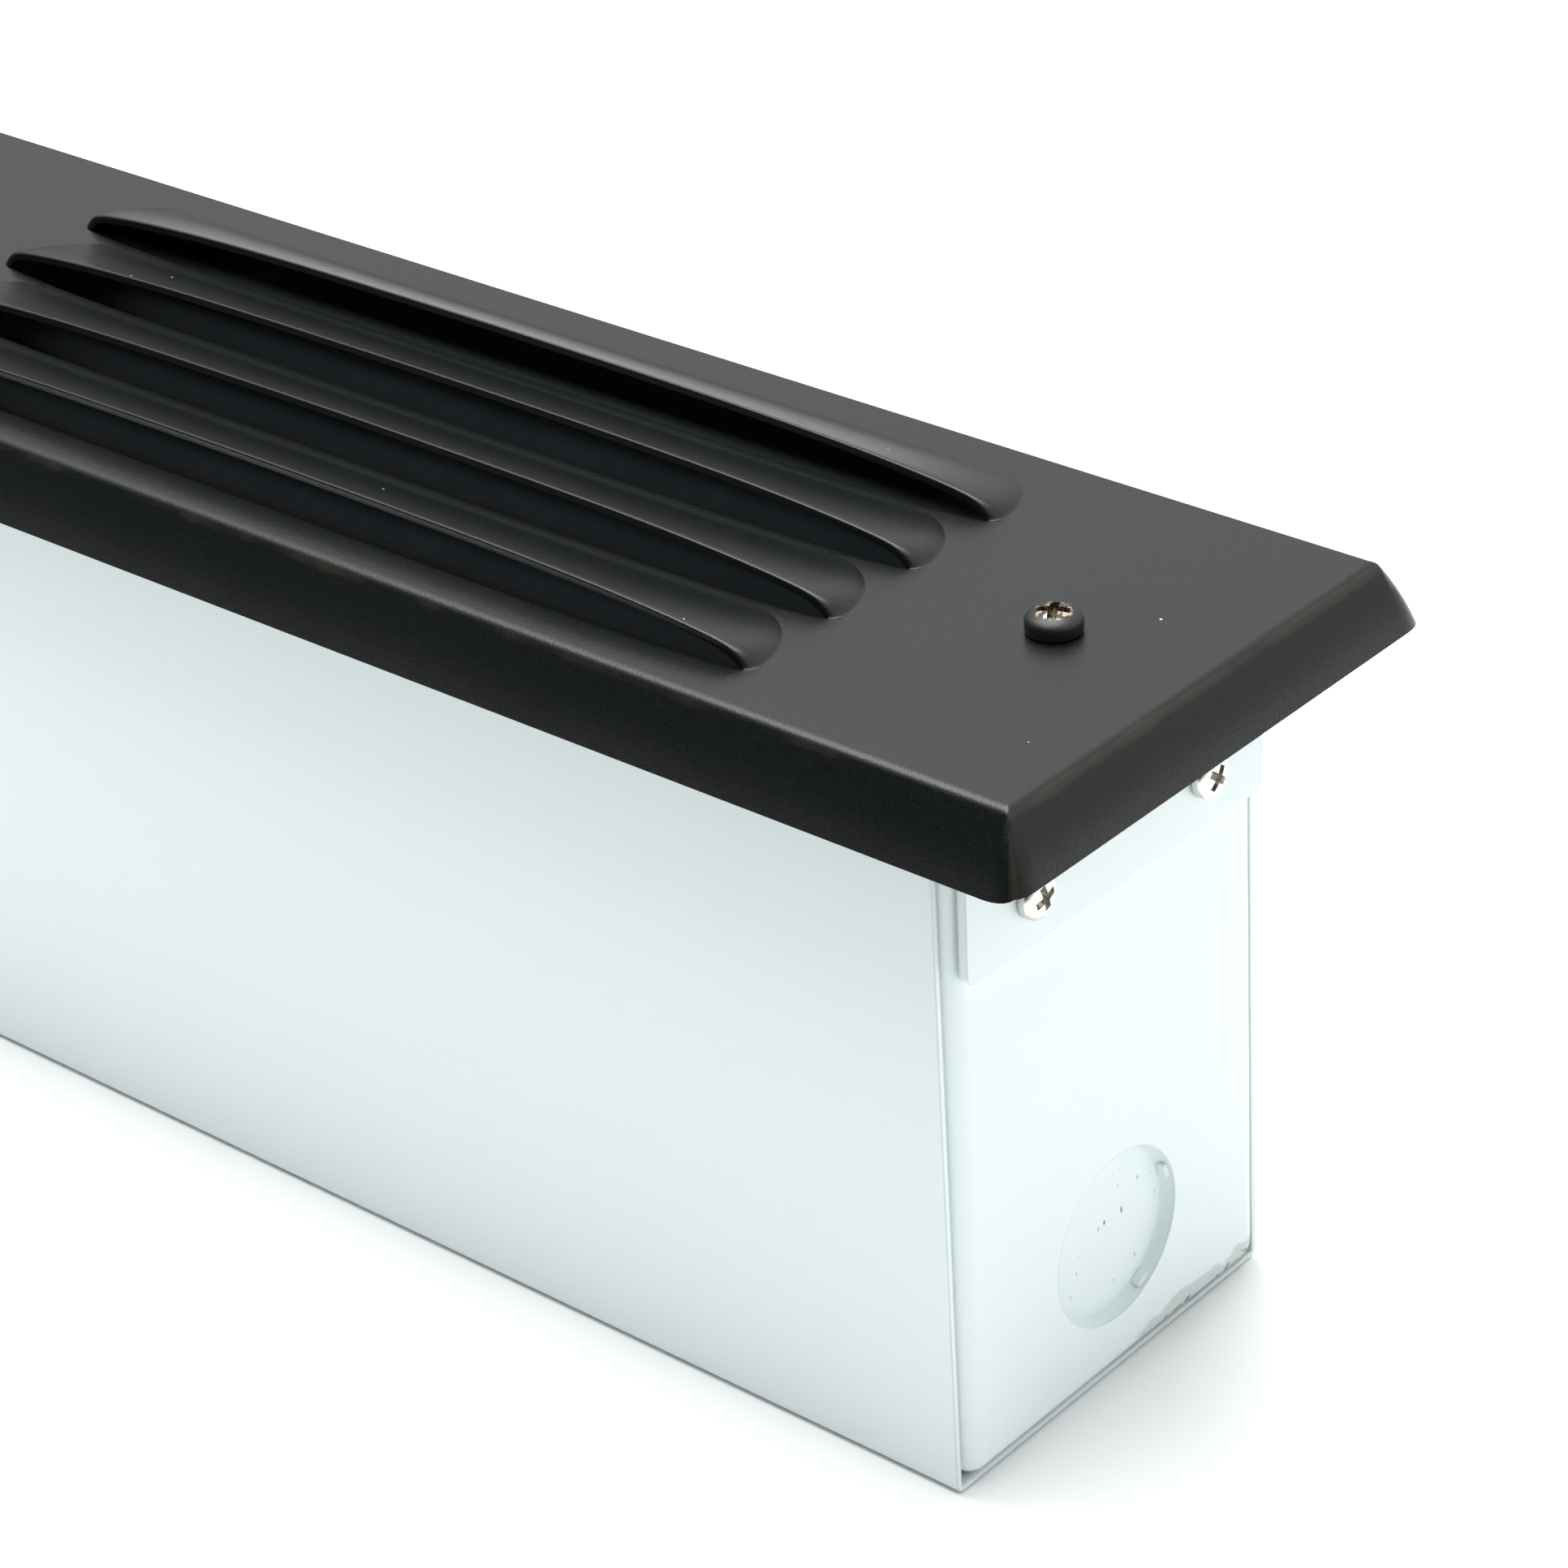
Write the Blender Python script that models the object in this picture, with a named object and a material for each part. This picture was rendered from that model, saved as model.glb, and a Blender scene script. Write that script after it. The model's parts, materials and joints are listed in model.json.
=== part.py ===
"""Recessed louvred brick light: sheet metal housing, louvre cover and LED gear, in metres, +Z up.

The cover faces up (+Z), the long side runs along X, and the louvres open towards -Y.
"""
import math

import bmesh
import bpy
from mathutils import Matrix, Vector

MM = 0.001
GAP = 0.3 * MM                       # free space kept between neighbouring pieces

# Housing: a folded channel closed by two pressed end caps
SHEET = 0.76 * MM
CHANNEL_LENGTH = 203.8 * MM
HOUSING_WIDTH = 57.6 * MM
HOUSING_HEIGHT = 94.4 * MM
CHANNEL_BEND = 1.2 * MM
CAP_FACE = 103.2 * MM                # from the centre to an end cap's outer face
CAP_FLANGE = 12.0 * MM
CAP_BEND = 2.8 * MM
CAP_TOP = 92.8 * MM
RELIEF = (4.4 * MM, 1.6 * MM, 1.0 * MM)
KNOCKOUT_RADIUS = 11.05 * MM         # half of a 7/8 inch trade knockout
KNOCKOUT_HEIGHT = 19.6 * MM
KNOCKOUT_SINK = 1.6 * MM
KNOCKOUT_RIM = 0.5 * MM
TIE_ANGLES = (18.0, -60.0)
TIE_WIDTH = 2.2 * MM
TIE_REACH = 0.7 * MM

# Mounting brackets that carry the cover
BRACKET_SHEET = 1.2 * MM
BRACKET_WIDTH = 53.5 * MM
BRACKET_BOTTOM = 67.3 * MM
BRACKET_CORNER = 1.0 * MM
BRACKET_LEG_WIDTH = 24.0 * MM
BRACKET_LEG_REACH = 16.0 * MM
BRACKET_TILT = {1: -1.0, -1: 0.0}    # degrees in its own plane, by the sign of X

# Cover
COVER_LENGTH = 239.2 * MM
COVER_WIDTH = 73.5 * MM
COVER_TOP = 96.3 * MM
COVER_DROP = 8.9 * MM
END_TRIM = 0.9 * MM                  # how much less the two short sides drop
COVER_FLARE = 3.8 * MM
COVER_SHEET = 1.0 * MM
FOLD_RADIUS = 2.6 * MM
CORNER_POWER = 4.0                   # how square the rim's corners stay
LOUVRE_ROWS = 4
LOUVRE_PITCH = 14.08 * MM
LOUVRE_HALF = 74.7 * MM
LOUVRE_BACK_ROW = 16.55 * MM         # slit line of the row nearest +Y
LOUVRE_BOW = 1.6 * MM                # of the slit's front edge towards -Y
BOW_RUN = 10.0 * MM
HOOD_DEPTH = 10.8 * MM
HOOD_END_DEPTH = 1.2 * MM            # added to the depth at the ends
LIP_EASE = 0.2 * MM
NOSE_RISE = 2.05 * MM                # the lip rises steeply at its tip, then slowly to its crown
NOSE_RUN = 1.1 * MM
CROWN_RISE = 2.8 * MM
CROWN_RUN = 18.0 * MM
END_LENGTH = 10.6 * MM               # of the rounded end of a hood, in plan
END_MIDDLE = 1.3 * MM
END_BULGE = 0.9 * MM
END_FADE = 12.0 * MM
HOOD_STEPS = 6
LIP_STEPS = 12                       # columns from the middle of a slit to its tip
FLANGE_SHARES = (0.15, 0.3, 1.0)

# Screws
COVER_SCREW_X = 96.5 * MM
COVER_SCREW_HEAD = 3.5 * MM
COVER_SCREW_RISE = 2.5 * MM
COVER_SCREW_SHANK = 1.7 * MM
COVER_SCREW_LENGTH = 8.0 * MM
BRACKET_SCREW_HEAD = 2.8 * MM
BRACKET_SCREW_RISE = 1.8 * MM
BRACKET_SCREW_SHANK = 1.5 * MM
BRACKET_SCREW_LENGTH = 7.0 * MM
BRACKET_SCREW_SPACING = 31.2 * MM
BRACKET_SCREW_HEIGHT = 74.0 * MM
SMALL_HEAD = 2.4 * MM
SMALL_RISE = 1.4 * MM
SMALL_SHANK = 1.2 * MM
SIDES = 20

# Lighting gear
TRAY_SHEET = 0.8 * MM
TRAY_HALF_LENGTH = 101.7 * MM
TRAY_HALF_WIDTH = 26.4 * MM
TRAY_FLOOR = 62.0 * MM
TRAY_RIM = 82.4 * MM
TRAY_BEND = 1.8 * MM
GASKET = 1.0 * MM
GASKET_WIDTH = 3.0 * MM
LENS_THICKNESS = 2.5 * MM
LENS_HALF_LENGTH = 100.0 * MM
LENS_HALF_WIDTH = 26.0 * MM
CLIP_SHEET = 0.5 * MM
CLIP_WIDTH = 9.0 * MM
CLIP_X = 60.0 * MM
BOARD = (140.0 * MM, 18.0 * MM, 1.6 * MM)
BOARD_SCREW_X = 66.0 * MM
LED_COUNT = 6
LED_PITCH = 22.0 * MM
LED_SIZE = (5.0 * MM, 5.0 * MM, 1.4 * MM)
TERMINAL_X = 44.0 * MM
GROMMET_X = 40.0 * MM
GROMMET_Y = 17.0 * MM
GROMMET_RADIUS = 5.0 * MM
GROMMET_BORE = 3.2 * MM
DRIVER_CENTRE_X = -20.0 * MM
DRIVER_SIZE = (84.0 * MM, 30.0 * MM, 22.0 * MM)
DRIVER_WALL = 1.6 * MM
DRIVER_EAR = 9.0 * MM
DRIVER_SCREW_Y = -12.0 * MM
LEAD_RADIUS = 0.9 * MM
LEAD_SPACING = 6.0 * MM               # between the supply leads at the driver
LEAD_SPREAD = 1.6 * MM                # of each LED lead from its pair's middle
LEAD_HEIGHT = 50.0 * MM
NUT_PLACES = {"line": (-84.0 * MM, -16.0 * MM), "neutral": (-70.0 * MM, 2.0 * MM),
              "earth": (-84.0 * MM, 18.0 * MM)}
NUT_HEIGHT = 16.0 * MM
NUT_BASE = 20.0 * MM
EARTH_SCREW = (-86.0 * MM, 12.0 * MM)

COLOURS = {
    "cover_black": ((0.030, 0.032, 0.032), 0.45, 0.0),
    "housing_white": ((0.86, 0.89, 0.90), 0.40, 0.0),
    "bracket_white": ((0.85, 0.89, 0.89), 0.40, 0.0),
    "screw_black": ((0.02, 0.02, 0.02), 0.45, 0.0),
    "screw_zinc": ((0.72, 0.70, 0.66), 0.28, 1.0),
    "tray_white": ((0.88, 0.88, 0.86), 0.35, 0.0),
    "lens_frost": ((0.16, 0.17, 0.18), 0.50, 0.0),
    "gasket_rubber": ((0.03, 0.03, 0.03), 0.85, 0.0),
    "clip_steel": ((0.60, 0.61, 0.62), 0.30, 1.0),
    "board_white": ((0.80, 0.82, 0.80), 0.50, 0.0),
    "led_yellow": ((0.85, 0.70, 0.25), 0.40, 0.0),
    "terminal_white": ((0.82, 0.80, 0.74), 0.45, 0.0),
    "driver_case": ((0.75, 0.76, 0.76), 0.50, 0.0),
    "driver_board": ((0.05, 0.20, 0.10), 0.55, 0.0),
    "lead_black": ((0.02, 0.02, 0.02), 0.50, 0.0),
    "lead_white": ((0.80, 0.80, 0.78), 0.50, 0.0),
    "lead_green": ((0.03, 0.25, 0.07), 0.50, 0.0),
    "lead_red": ((0.45, 0.03, 0.03), 0.50, 0.0),
    "nut_orange": ((0.75, 0.25, 0.03), 0.50, 0.0),
    "earth_green": ((0.05, 0.32, 0.12), 0.35, 0.6),
    "ring_copper": ((0.70, 0.45, 0.25), 0.35, 1.0),
}


# --- tools -------------------------------------------------------------------------------------

def clear_scene():
    for item in list(bpy.data.objects):
        bpy.data.objects.remove(item, do_unlink=True)


def material(name):
    found = bpy.data.materials.get(name)
    if found:
        return found
    colour, roughness, metallic = COLOURS[name]
    made = bpy.data.materials.new(name)
    made.use_nodes = True
    made.diffuse_color = (*colour, 1.0)
    shader = made.node_tree.nodes["Principled BSDF"]
    shader.inputs["Base Color"].default_value = (*colour, 1.0)
    shader.inputs["Roughness"].default_value = roughness
    shader.inputs["Metallic"].default_value = metallic
    return made


def add_object(name, bm, look, location=(0, 0, 0), smooth_angle=35.0):
    """Turn a bmesh into a named object with its material and outward faces."""
    bmesh.ops.recalc_face_normals(bm, faces=bm.faces)
    mesh = bpy.data.meshes.new(name)
    bm.to_mesh(mesh)
    bm.free()
    mesh.shade_smooth()
    mesh.set_sharp_from_angle(angle=math.radians(smooth_angle))
    made = bpy.data.objects.new(name, mesh)
    made.location = location
    if look:
        mesh.materials.append(material(look))
    bpy.context.scene.collection.objects.link(made)
    return made


def bake(target):
    """Replace an object's mesh with its evaluated one and drop its modifiers."""
    bpy.context.view_layer.update()
    graph = bpy.context.evaluated_depsgraph_get()
    mesh = bpy.data.meshes.new_from_object(target.evaluated_get(graph))
    target.modifiers.clear()
    target.data = mesh


def combine(target, others, operation="DIFFERENCE"):
    """Cut or join solids in turn, and remove them afterwards."""
    for other in others:
        step = target.modifiers.new("cut", "BOOLEAN")
        step.operation = operation
        step.solver = "EXACT"
        step.object = other
        bake(target)
        bpy.data.objects.remove(other, do_unlink=True)
    return target


def box_mesh(low, high):
    bm = bmesh.new()
    bmesh.ops.create_cube(bm, size=1.0)
    size = Vector(high) - Vector(low)
    middle = (Vector(high) + Vector(low)) / 2
    bmesh.ops.transform(bm, matrix=Matrix.Translation(middle) @ Matrix.Diagonal((*size, 1.0)), verts=bm.verts)
    return bm


def box(name, low, high, look=None, bevel=0.0, steps=2, chosen=None):
    """A box between two corners, with all edges or the chosen ones rounded."""
    bm = box_mesh(low, high)
    if bevel:
        edges = [e for e in bm.edges if chosen is None or chosen(e)]
        bmesh.ops.bevel(bm, geom=edges, offset=bevel, segments=steps, affect="EDGES", profile=0.5)
    return add_object(name, bm, look)


def along(edge, axis):
    direction = edge.verts[1].co - edge.verts[0].co
    return abs(direction[axis]) > 0.9 * direction.length


def middle_of(edge):
    return (edge.verts[0].co + edge.verts[1].co) / 2


def filleted(points, radius, steps=4):
    """Round the inner corners of an open path of 2-D points."""
    path = [Vector(points[0])]
    for before, corner, after in zip(points, points[1:], points[2:]):
        corner = Vector(corner)
        back = (Vector(before) - corner).normalized()
        ahead = (Vector(after) - corner).normalized()
        half = back.angle(ahead) / 2
        reach = radius / math.tan(half)
        centre = corner + (back + ahead).normalized() * radius / math.sin(half)
        first = corner + back * reach - centre
        sweep = math.pi - 2 * half
        turn = math.copysign(1.0, back.x * ahead.y - back.y * ahead.x)
        for i in range(steps + 1):
            spun = first.copy()
            spun.rotate(Matrix.Rotation(-turn * sweep * i / steps, 2))
            path.append(centre + spun)
    path.append(Vector(points[-1]))
    return path


def extruded(name, outline, axis, start, end, look):
    """Extrude a closed 2-D outline along X or Y."""
    bm = bmesh.new()
    place = {"X": lambda p, t: (t, p.x, p.y), "Y": lambda p, t: (p.x, t, p.y), "Z": lambda p, t: (p.x, p.y, t)}[axis]
    rings = [[bm.verts.new(place(p, t)) for p in outline] for t in (start, end)]
    count = len(outline)
    for i in range(count):
        j = (i + 1) % count
        bm.faces.new((rings[0][i], rings[0][j], rings[1][j], rings[1][i]))
    bm.faces.new(rings[0])
    bm.faces.new(list(reversed(rings[1])))
    return add_object(name, bm, look)


def turned(name, profile, look=None, location=(0, 0, 0), sides=SIDES, axis="Z"):
    """Turn (radius, height) points about an axis; the first and last radius may be 0."""
    bm = bmesh.new()
    rings = []
    for radius, height in profile:
        count = 1 if radius == 0 else sides
        ring = []
        for i in range(count):
            angle = 2 * math.pi * i / sides
            ring.append(bm.verts.new((radius * math.cos(angle), radius * math.sin(angle), height)))
        rings.append(ring)
    pairs = list(zip(rings, rings[1:]))
    if len(rings[0]) > 1:
        pairs.append((rings[-1], rings[0]))
    for low, high in pairs:
        for i in range(sides):
            j = (i + 1) % sides
            corners = [low[i % len(low)], low[j % len(low)], high[j % len(high)], high[i % len(high)]]
            bm.faces.new(list(dict.fromkeys(corners)))
    turn = {"Z": Matrix(), "X": Matrix.Rotation(math.pi / 2, 4, "Y"), "-X": Matrix.Rotation(-math.pi / 2, 4, "Y"),
            "-Z": Matrix.Rotation(math.pi, 4, "X")}[axis]
    bmesh.ops.transform(bm, matrix=turn, verts=bm.verts)
    return add_object(name, bm, look, location)


def rod(radius, low, high, location=(0, 0, 0), axis="Z", sides=SIDES):
    """A plain cylinder, used to cut and to join."""
    return turned("rod", [(0, low), (radius, low), (radius, high), (0, high)], None, location, sides, axis)


def screw(name, head, rise, shank, length, look, location, axis):
    """A pan head screw whose seat is at its origin, with a cross recess in the head."""
    dome = [(head * math.cos(a), rise * (0.4 + 0.6 * math.sin(a))) for a in (0.0, 0.45, 0.85, 1.2)]
    profile = [(0, -length), (shank * 0.5, -length), (shank, -length + 0.8 * shank), (shank, 0)]
    profile += [(head, 0)] + dome + [(0, rise)]
    made = turned(name, profile, look, location, SIDES, axis)
    up = {"Z": Vector((0, 0, 1)), "X": Vector((1, 0, 0)), "-X": Vector((-1, 0, 0)), "-Z": Vector((0, 0, -1))}[axis]
    side = Vector((0, 1, 0))
    other = up.cross(side)
    middle = Vector(location) + up * rise * 0.85
    for first, second in ((side, other), (other, side)):
        reach = first * head * 0.56 + second * head * 0.15 + up * rise * 0.45
        reach = Vector([abs(c) for c in reach])
        combine(made, [box("recess", middle - reach, middle + reach)])
    recentre(made, location)
    return made


def recentre(target, location):
    """Put an object's origin at a point without moving its mesh in the world."""
    shift = Vector(location) - target.location
    target.data.transform(Matrix.Translation(-shift))
    target.location = location


def smooth_route(points, spacing):
    """Evenly spaced points on a smooth curve through the route's own points."""
    points = [Vector(p) for p in points]
    ends = [2 * points[0] - points[1]] + points + [2 * points[-1] - points[-2]]
    dense = []
    for a, b, c, d in zip(ends, ends[1:], ends[2:], ends[3:]):
        for i in range(20):
            t = i / 20
            dense.append(0.5 * ((2 * b) + (c - a) * t + (2 * a - 5 * b + 4 * c - d) * t * t
                                + (3 * b - a - 3 * c + d) * t ** 3))
    dense.append(points[-1])
    kept = [dense[0]]
    for point in dense[1:-1]:
        if (point - kept[-1]).length >= spacing:
            kept.append(point)
    if (dense[-1] - kept[-1]).length < 0.5 * spacing:
        kept.pop()
    return kept + [dense[-1]]


def lead(name, points, look, radius=LEAD_RADIUS):
    """A round insulated wire along a smooth route."""
    curve = bpy.data.curves.new(name, "CURVE")
    curve.dimensions = "3D"
    curve.bevel_depth = radius
    curve.bevel_resolution = 2
    curve.use_fill_caps = True
    route = smooth_route(points, 3.0 * radius)
    line = curve.splines.new("POLY")
    line.points.add(len(route) - 1)
    for target, point in zip(line.points, route):
        target.co = (*point, 1.0)
    curve.materials.append(material(look))
    made = bpy.data.objects.new(name, curve)
    bpy.context.scene.collection.objects.link(made)
    return made


# --- housing -----------------------------------------------------------------------------------

def make_channel():
    half = HOUSING_WIDTH / 2
    outer = filleted([(-half, HOUSING_HEIGHT), (-half, 0), (half, 0), (half, HOUSING_HEIGHT)], CHANNEL_BEND)
    inner_half = half - SHEET
    inner = filleted([(-inner_half, HOUSING_HEIGHT), (-inner_half, SHEET), (inner_half, SHEET),
                      (inner_half, HOUSING_HEIGHT)], CHANNEL_BEND - SHEET)
    extruded("housing_channel", outer + inner[::-1], "X", -CHANNEL_LENGTH / 2, CHANNEL_LENGTH / 2,
             "housing_white")


def make_end_cap(name, side):
    """A pressed pan with three flanges, and a knockout slug held by two ties."""
    half = HOUSING_WIDTH / 2 - SHEET - GAP
    bottom = SHEET + GAP
    root = CAP_FACE - CAP_FLANGE

    def bent(edge):
        spot = middle_of(edge)
        upright = along(edge, 2) and spot.x > root + GAP
        foot = along(edge, 1) and spot.x > root + GAP and spot.z < CAP_TOP / 2
        keel = along(edge, 0) and spot.z < CAP_TOP / 2
        return upright or foot or keel

    cap = box(name, (root, -half, bottom), (CAP_FACE, half, CAP_TOP), "housing_white", CAP_BEND, 4, bent)
    inner = half - SHEET
    hollow = box("hollow", (root - SHEET, -inner, bottom + SHEET), (CAP_FACE - SHEET, inner, CAP_TOP + SHEET),
                 None, CAP_BEND - SHEET, 4, lambda e: bent(e) or (along(e, 0) and middle_of(e).z < CAP_TOP / 2))
    combine(cap, [hollow])
    notches = []
    for sign in (-1, 1):
        corner = Vector((CAP_FACE - RELIEF[0], sign * (half - RELIEF[1] / 2), bottom + RELIEF[2] / 2))
        reach = Vector((RELIEF[0] / 2, RELIEF[1], RELIEF[2]))
        notches.append(box("notch", corner - reach, corner + reach))
    combine(cap, notches)
    holes = [rod(BRACKET_SCREW_SHANK + GAP, CAP_FACE - 3 * MM, CAP_FACE + 2 * MM, (0, y, BRACKET_SCREW_HEIGHT), "X")
             for y in (-BRACKET_SCREW_SPACING / 2, BRACKET_SCREW_SPACING / 2)]
    combine(cap, holes)
    spot = (0, 0, KNOCKOUT_HEIGHT)
    combine(cap, [rod(KNOCKOUT_RADIUS, CAP_FACE - 3 * MM, CAP_FACE + 2 * MM, spot, "X", 36)])
    face = CAP_FACE - KNOCKOUT_SINK
    combine(cap, [knockout_slug(face, spot)], "UNION")
    if side < 0:
        cap.data.transform(Matrix.Rotation(math.pi, 4, "Z"))
    return cap


def knockout_slug(face, spot):
    """The sunk disc with its drawn rim and its two ties, as one solid."""
    slug = rod(KNOCKOUT_RADIUS + KNOCKOUT_RIM, face - SHEET, CAP_FACE - SHEET * 0.4, spot, "X", 36)
    combine(slug, [rod(KNOCKOUT_RADIUS, face, CAP_FACE + MM, spot, "X", 36)])
    for degrees in TIE_ANGLES:
        bm = box_mesh((-TIE_WIDTH / 2, KNOCKOUT_RADIUS - TIE_REACH, face - SHEET * 0.5),
                      (TIE_WIDTH / 2, KNOCKOUT_RADIUS + KNOCKOUT_RIM / 2, CAP_FACE - SHEET * 0.55))
        across = Matrix(((0, 0, 1), (0, 1, 0), (-1, 0, 0))).to_4x4()
        bmesh.ops.transform(bm, matrix=across, verts=bm.verts)
        bmesh.ops.transform(bm, matrix=Matrix.Rotation(math.radians(degrees), 4, "X"), verts=bm.verts)
        bmesh.ops.translate(bm, vec=spot, verts=bm.verts)
        combine(slug, [add_object("tie", bm, None)], "UNION")
    return slug


def make_bracket(name, side):
    """An upright plate on the end cap, with a leg turned in under the cover."""
    inner = CAP_FACE + GAP
    outer = inner + BRACKET_SHEET
    top = COVER_TOP - COVER_SHEET - 2 * GAP
    half = BRACKET_WIDTH / 2

    def foot_corner(edge):
        return along(edge, 0) and middle_of(edge).z < (BRACKET_BOTTOM + top) / 2

    def fold(edge):
        spot = middle_of(edge)
        return along(edge, 1) and spot.z > (BRACKET_BOTTOM + top) / 2 and spot.x > inner + GAP

    plate_top = top - BRACKET_SHEET * 2
    plate = box(name, (inner, -half, BRACKET_BOTTOM), (outer, half, plate_top - 2 * MM), "bracket_white",
                BRACKET_CORNER, 3, foot_corner)
    tab_half = BRACKET_LEG_WIDTH / 2
    tab = box("tab", (outer - BRACKET_LEG_REACH, -tab_half, plate_top - 4 * MM), (outer, tab_half, top), None,
              BRACKET_SHEET * 1.5, 3, fold)
    under = box("under", (outer - BRACKET_LEG_REACH - MM, -tab_half - MM, plate_top - 6 * MM),
                (inner, tab_half + MM, top - BRACKET_SHEET), None, BRACKET_SHEET * 0.5, 2, fold)
    combine(tab, [under])
    combine(plate, [tab], "UNION")
    holes = [rod(BRACKET_SCREW_SHANK + GAP, inner - 2 * MM, outer + 2 * MM, (0, y, BRACKET_SCREW_HEIGHT), "X")
             for y in (-BRACKET_SCREW_SPACING / 2, BRACKET_SCREW_SPACING / 2)]
    combine(plate, holes)
    centre = Vector((0, 0, BRACKET_SCREW_HEIGHT))
    turn = Matrix.Rotation(math.radians(BRACKET_TILT[side]), 4, "X")
    plate.data.transform(Matrix.Translation(centre) @ turn @ Matrix.Translation(-centre))
    combine(plate, [rod(COVER_SCREW_SHANK + GAP, top - 4 * MM, top + 2 * MM, (COVER_SCREW_X, 0, 0))])
    if side < 0:
        plate.data.transform(Matrix.Rotation(math.pi, 4, "Z"))
    return plate


# --- cover -------------------------------------------------------------------------------------

def lip_height(inside):
    """How high a louvre's front lip stands at a distance inside the slit's tip."""
    eased = inside * inside / (inside + LIP_EASE)
    return NOSE_RISE * (1 - math.exp(-eased / NOSE_RUN)) + CROWN_RISE * (1 - math.exp(-eased / CROWN_RUN))


def hood_section(share):
    """The hood's section as a share of the lip's height: 1 at the lip, 0 at the back."""
    return 0.5 * (1 + math.cos(math.pi * share))


def louvre_shift(inside, behind, depth):
    """How far the hood's end bulges outwards past its place on the lip, by the distance behind the slit."""
    across = min(1.0, abs(behind - END_MIDDLE) / (depth - END_MIDDLE))
    bulge = END_LENGTH * (math.sqrt(1 - across * across) - 1) + END_BULGE
    hook = END_BULGE * max(0.0, 1 - behind / END_MIDDLE) ** 2
    return (bulge - hook) * math.exp(-inside / END_FADE)


def louvre_point(x, share):
    """Where a point of the hood stands: along the slit, behind it, and above the flat."""
    inside = LOUVRE_HALF - abs(x)
    if inside < -GAP:
        return x, share * (HOOD_DEPTH + HOOD_END_DEPTH), 0.0
    inside = max(0.0, inside)
    depth = HOOD_DEPTH + HOOD_END_DEPTH * math.exp(-inside / END_FADE)
    behind = share * depth
    return (x + math.copysign(1, x) * louvre_shift(inside, behind, depth), behind,
            lip_height(inside) * hood_section(share))


def slit_bow(x):
    """How far the slit's front edge stands forward of the lip."""
    inside = max(0.0, LOUVRE_HALF - abs(x))
    return LOUVRE_BOW * (1 - math.exp(-inside / BOW_RUN))


def flange_point(share, depth):
    """Offset outwards and drop along the fold and the flange, at a depth inside the sheet."""
    slope = math.atan2(COVER_DROP, COVER_FLARE)
    arc = FOLD_RADIUS * slope
    straight = math.hypot(COVER_DROP, COVER_FLARE) - FOLD_RADIUS * math.tan(slope / 2)
    run = share * (arc + straight)
    turn = min(run / FOLD_RADIUS, slope)
    rest = max(0.0, run - arc)
    radius = FOLD_RADIUS - depth
    return (radius * math.sin(turn) + rest * math.cos(slope),
            FOLD_RADIUS - radius * math.cos(turn) + rest * math.sin(slope))


def cover_point(place, shares, flat, depth):
    """A point of the cover, on the flat or on the flange around it, at a depth inside the sheet."""
    share = max(shares)
    if share == 0:
        return (place[0], place[1], COVER_TOP + place[2] - depth)
    out, drop = flange_point(share, depth)
    ways = [value / share for value in shares]
    size = sum(way ** CORNER_POWER for way in ways) ** (1 / CORNER_POWER)
    spot = [math.copysign(flat[i] + out * ways[i] / size, place[i]) if shares[i] else place[i] for i in (0, 1)]
    return (*spot, COVER_TOP - drop + END_TRIM * share * ways[0] ** 2)


def cover_rows(flat_y):
    """Rows across the cover: the distance from its middle, the flange share and the place on a hood."""
    slits = [LOUVRE_BACK_ROW - LOUVRE_PITCH * i for i in reversed(range(LOUVRE_ROWS))]
    rows = [(-flat_y, share, None) for share in reversed(FLANGE_SHARES)] + [(-flat_y, 0.0, None)]
    for slit in slits:
        rows.append((slit, 0.0, "edge"))
        rows += [(slit, 0.0, i / HOOD_STEPS) for i in range(HOOD_STEPS + 1)]
    return rows + [(flat_y, 0.0, None)] + [(flat_y, share, None) for share in FLANGE_SHARES]


def cover_columns(flat_x):
    """Columns along the cover, drawn together towards the tips of the slits."""
    inner = [LOUVRE_HALF * (1 - (1 - i / LIP_STEPS) ** 2) for i in range(LIP_STEPS + 1)]
    outer = [(x, 0.0) for x in inner[1:]] + [(LOUVRE_HALF + 5 * MM, 0.0), (flat_x, 0.0)]
    outer += [(flat_x, share) for share in FLANGE_SHARES]
    return [(-x, share) for x, share in reversed(outer)] + [(0.0, 0.0)] + outer


def cover_layer(bm, rows, columns, flat, depth):
    """One face of the sheet as a grid of points; a slit's two edges meet at its tips."""
    grid = []
    for y, share_y, mark in rows:
        line = []
        for x, share_x in columns:
            open_slit = abs(x) < LOUVRE_HALF - GAP / 10
            if mark == 0.0 and not open_slit:
                line.append(grid[-1][len(line)])
                continue
            place = (x, y, 0.0)
            if mark == "edge":
                place = (x, y - slit_bow(x), 0.0)
            elif mark is not None and not share_x:
                along_x, behind, rise = louvre_point(x, mark)
                place = (along_x, y + behind, rise)
            elif mark is not None:
                place = (x, y + louvre_point(x, mark)[1], 0.0)
            line.append(bm.verts.new(cover_point(place, (share_x, share_y), flat, depth)))
        grid.append(line)
    return grid


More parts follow.
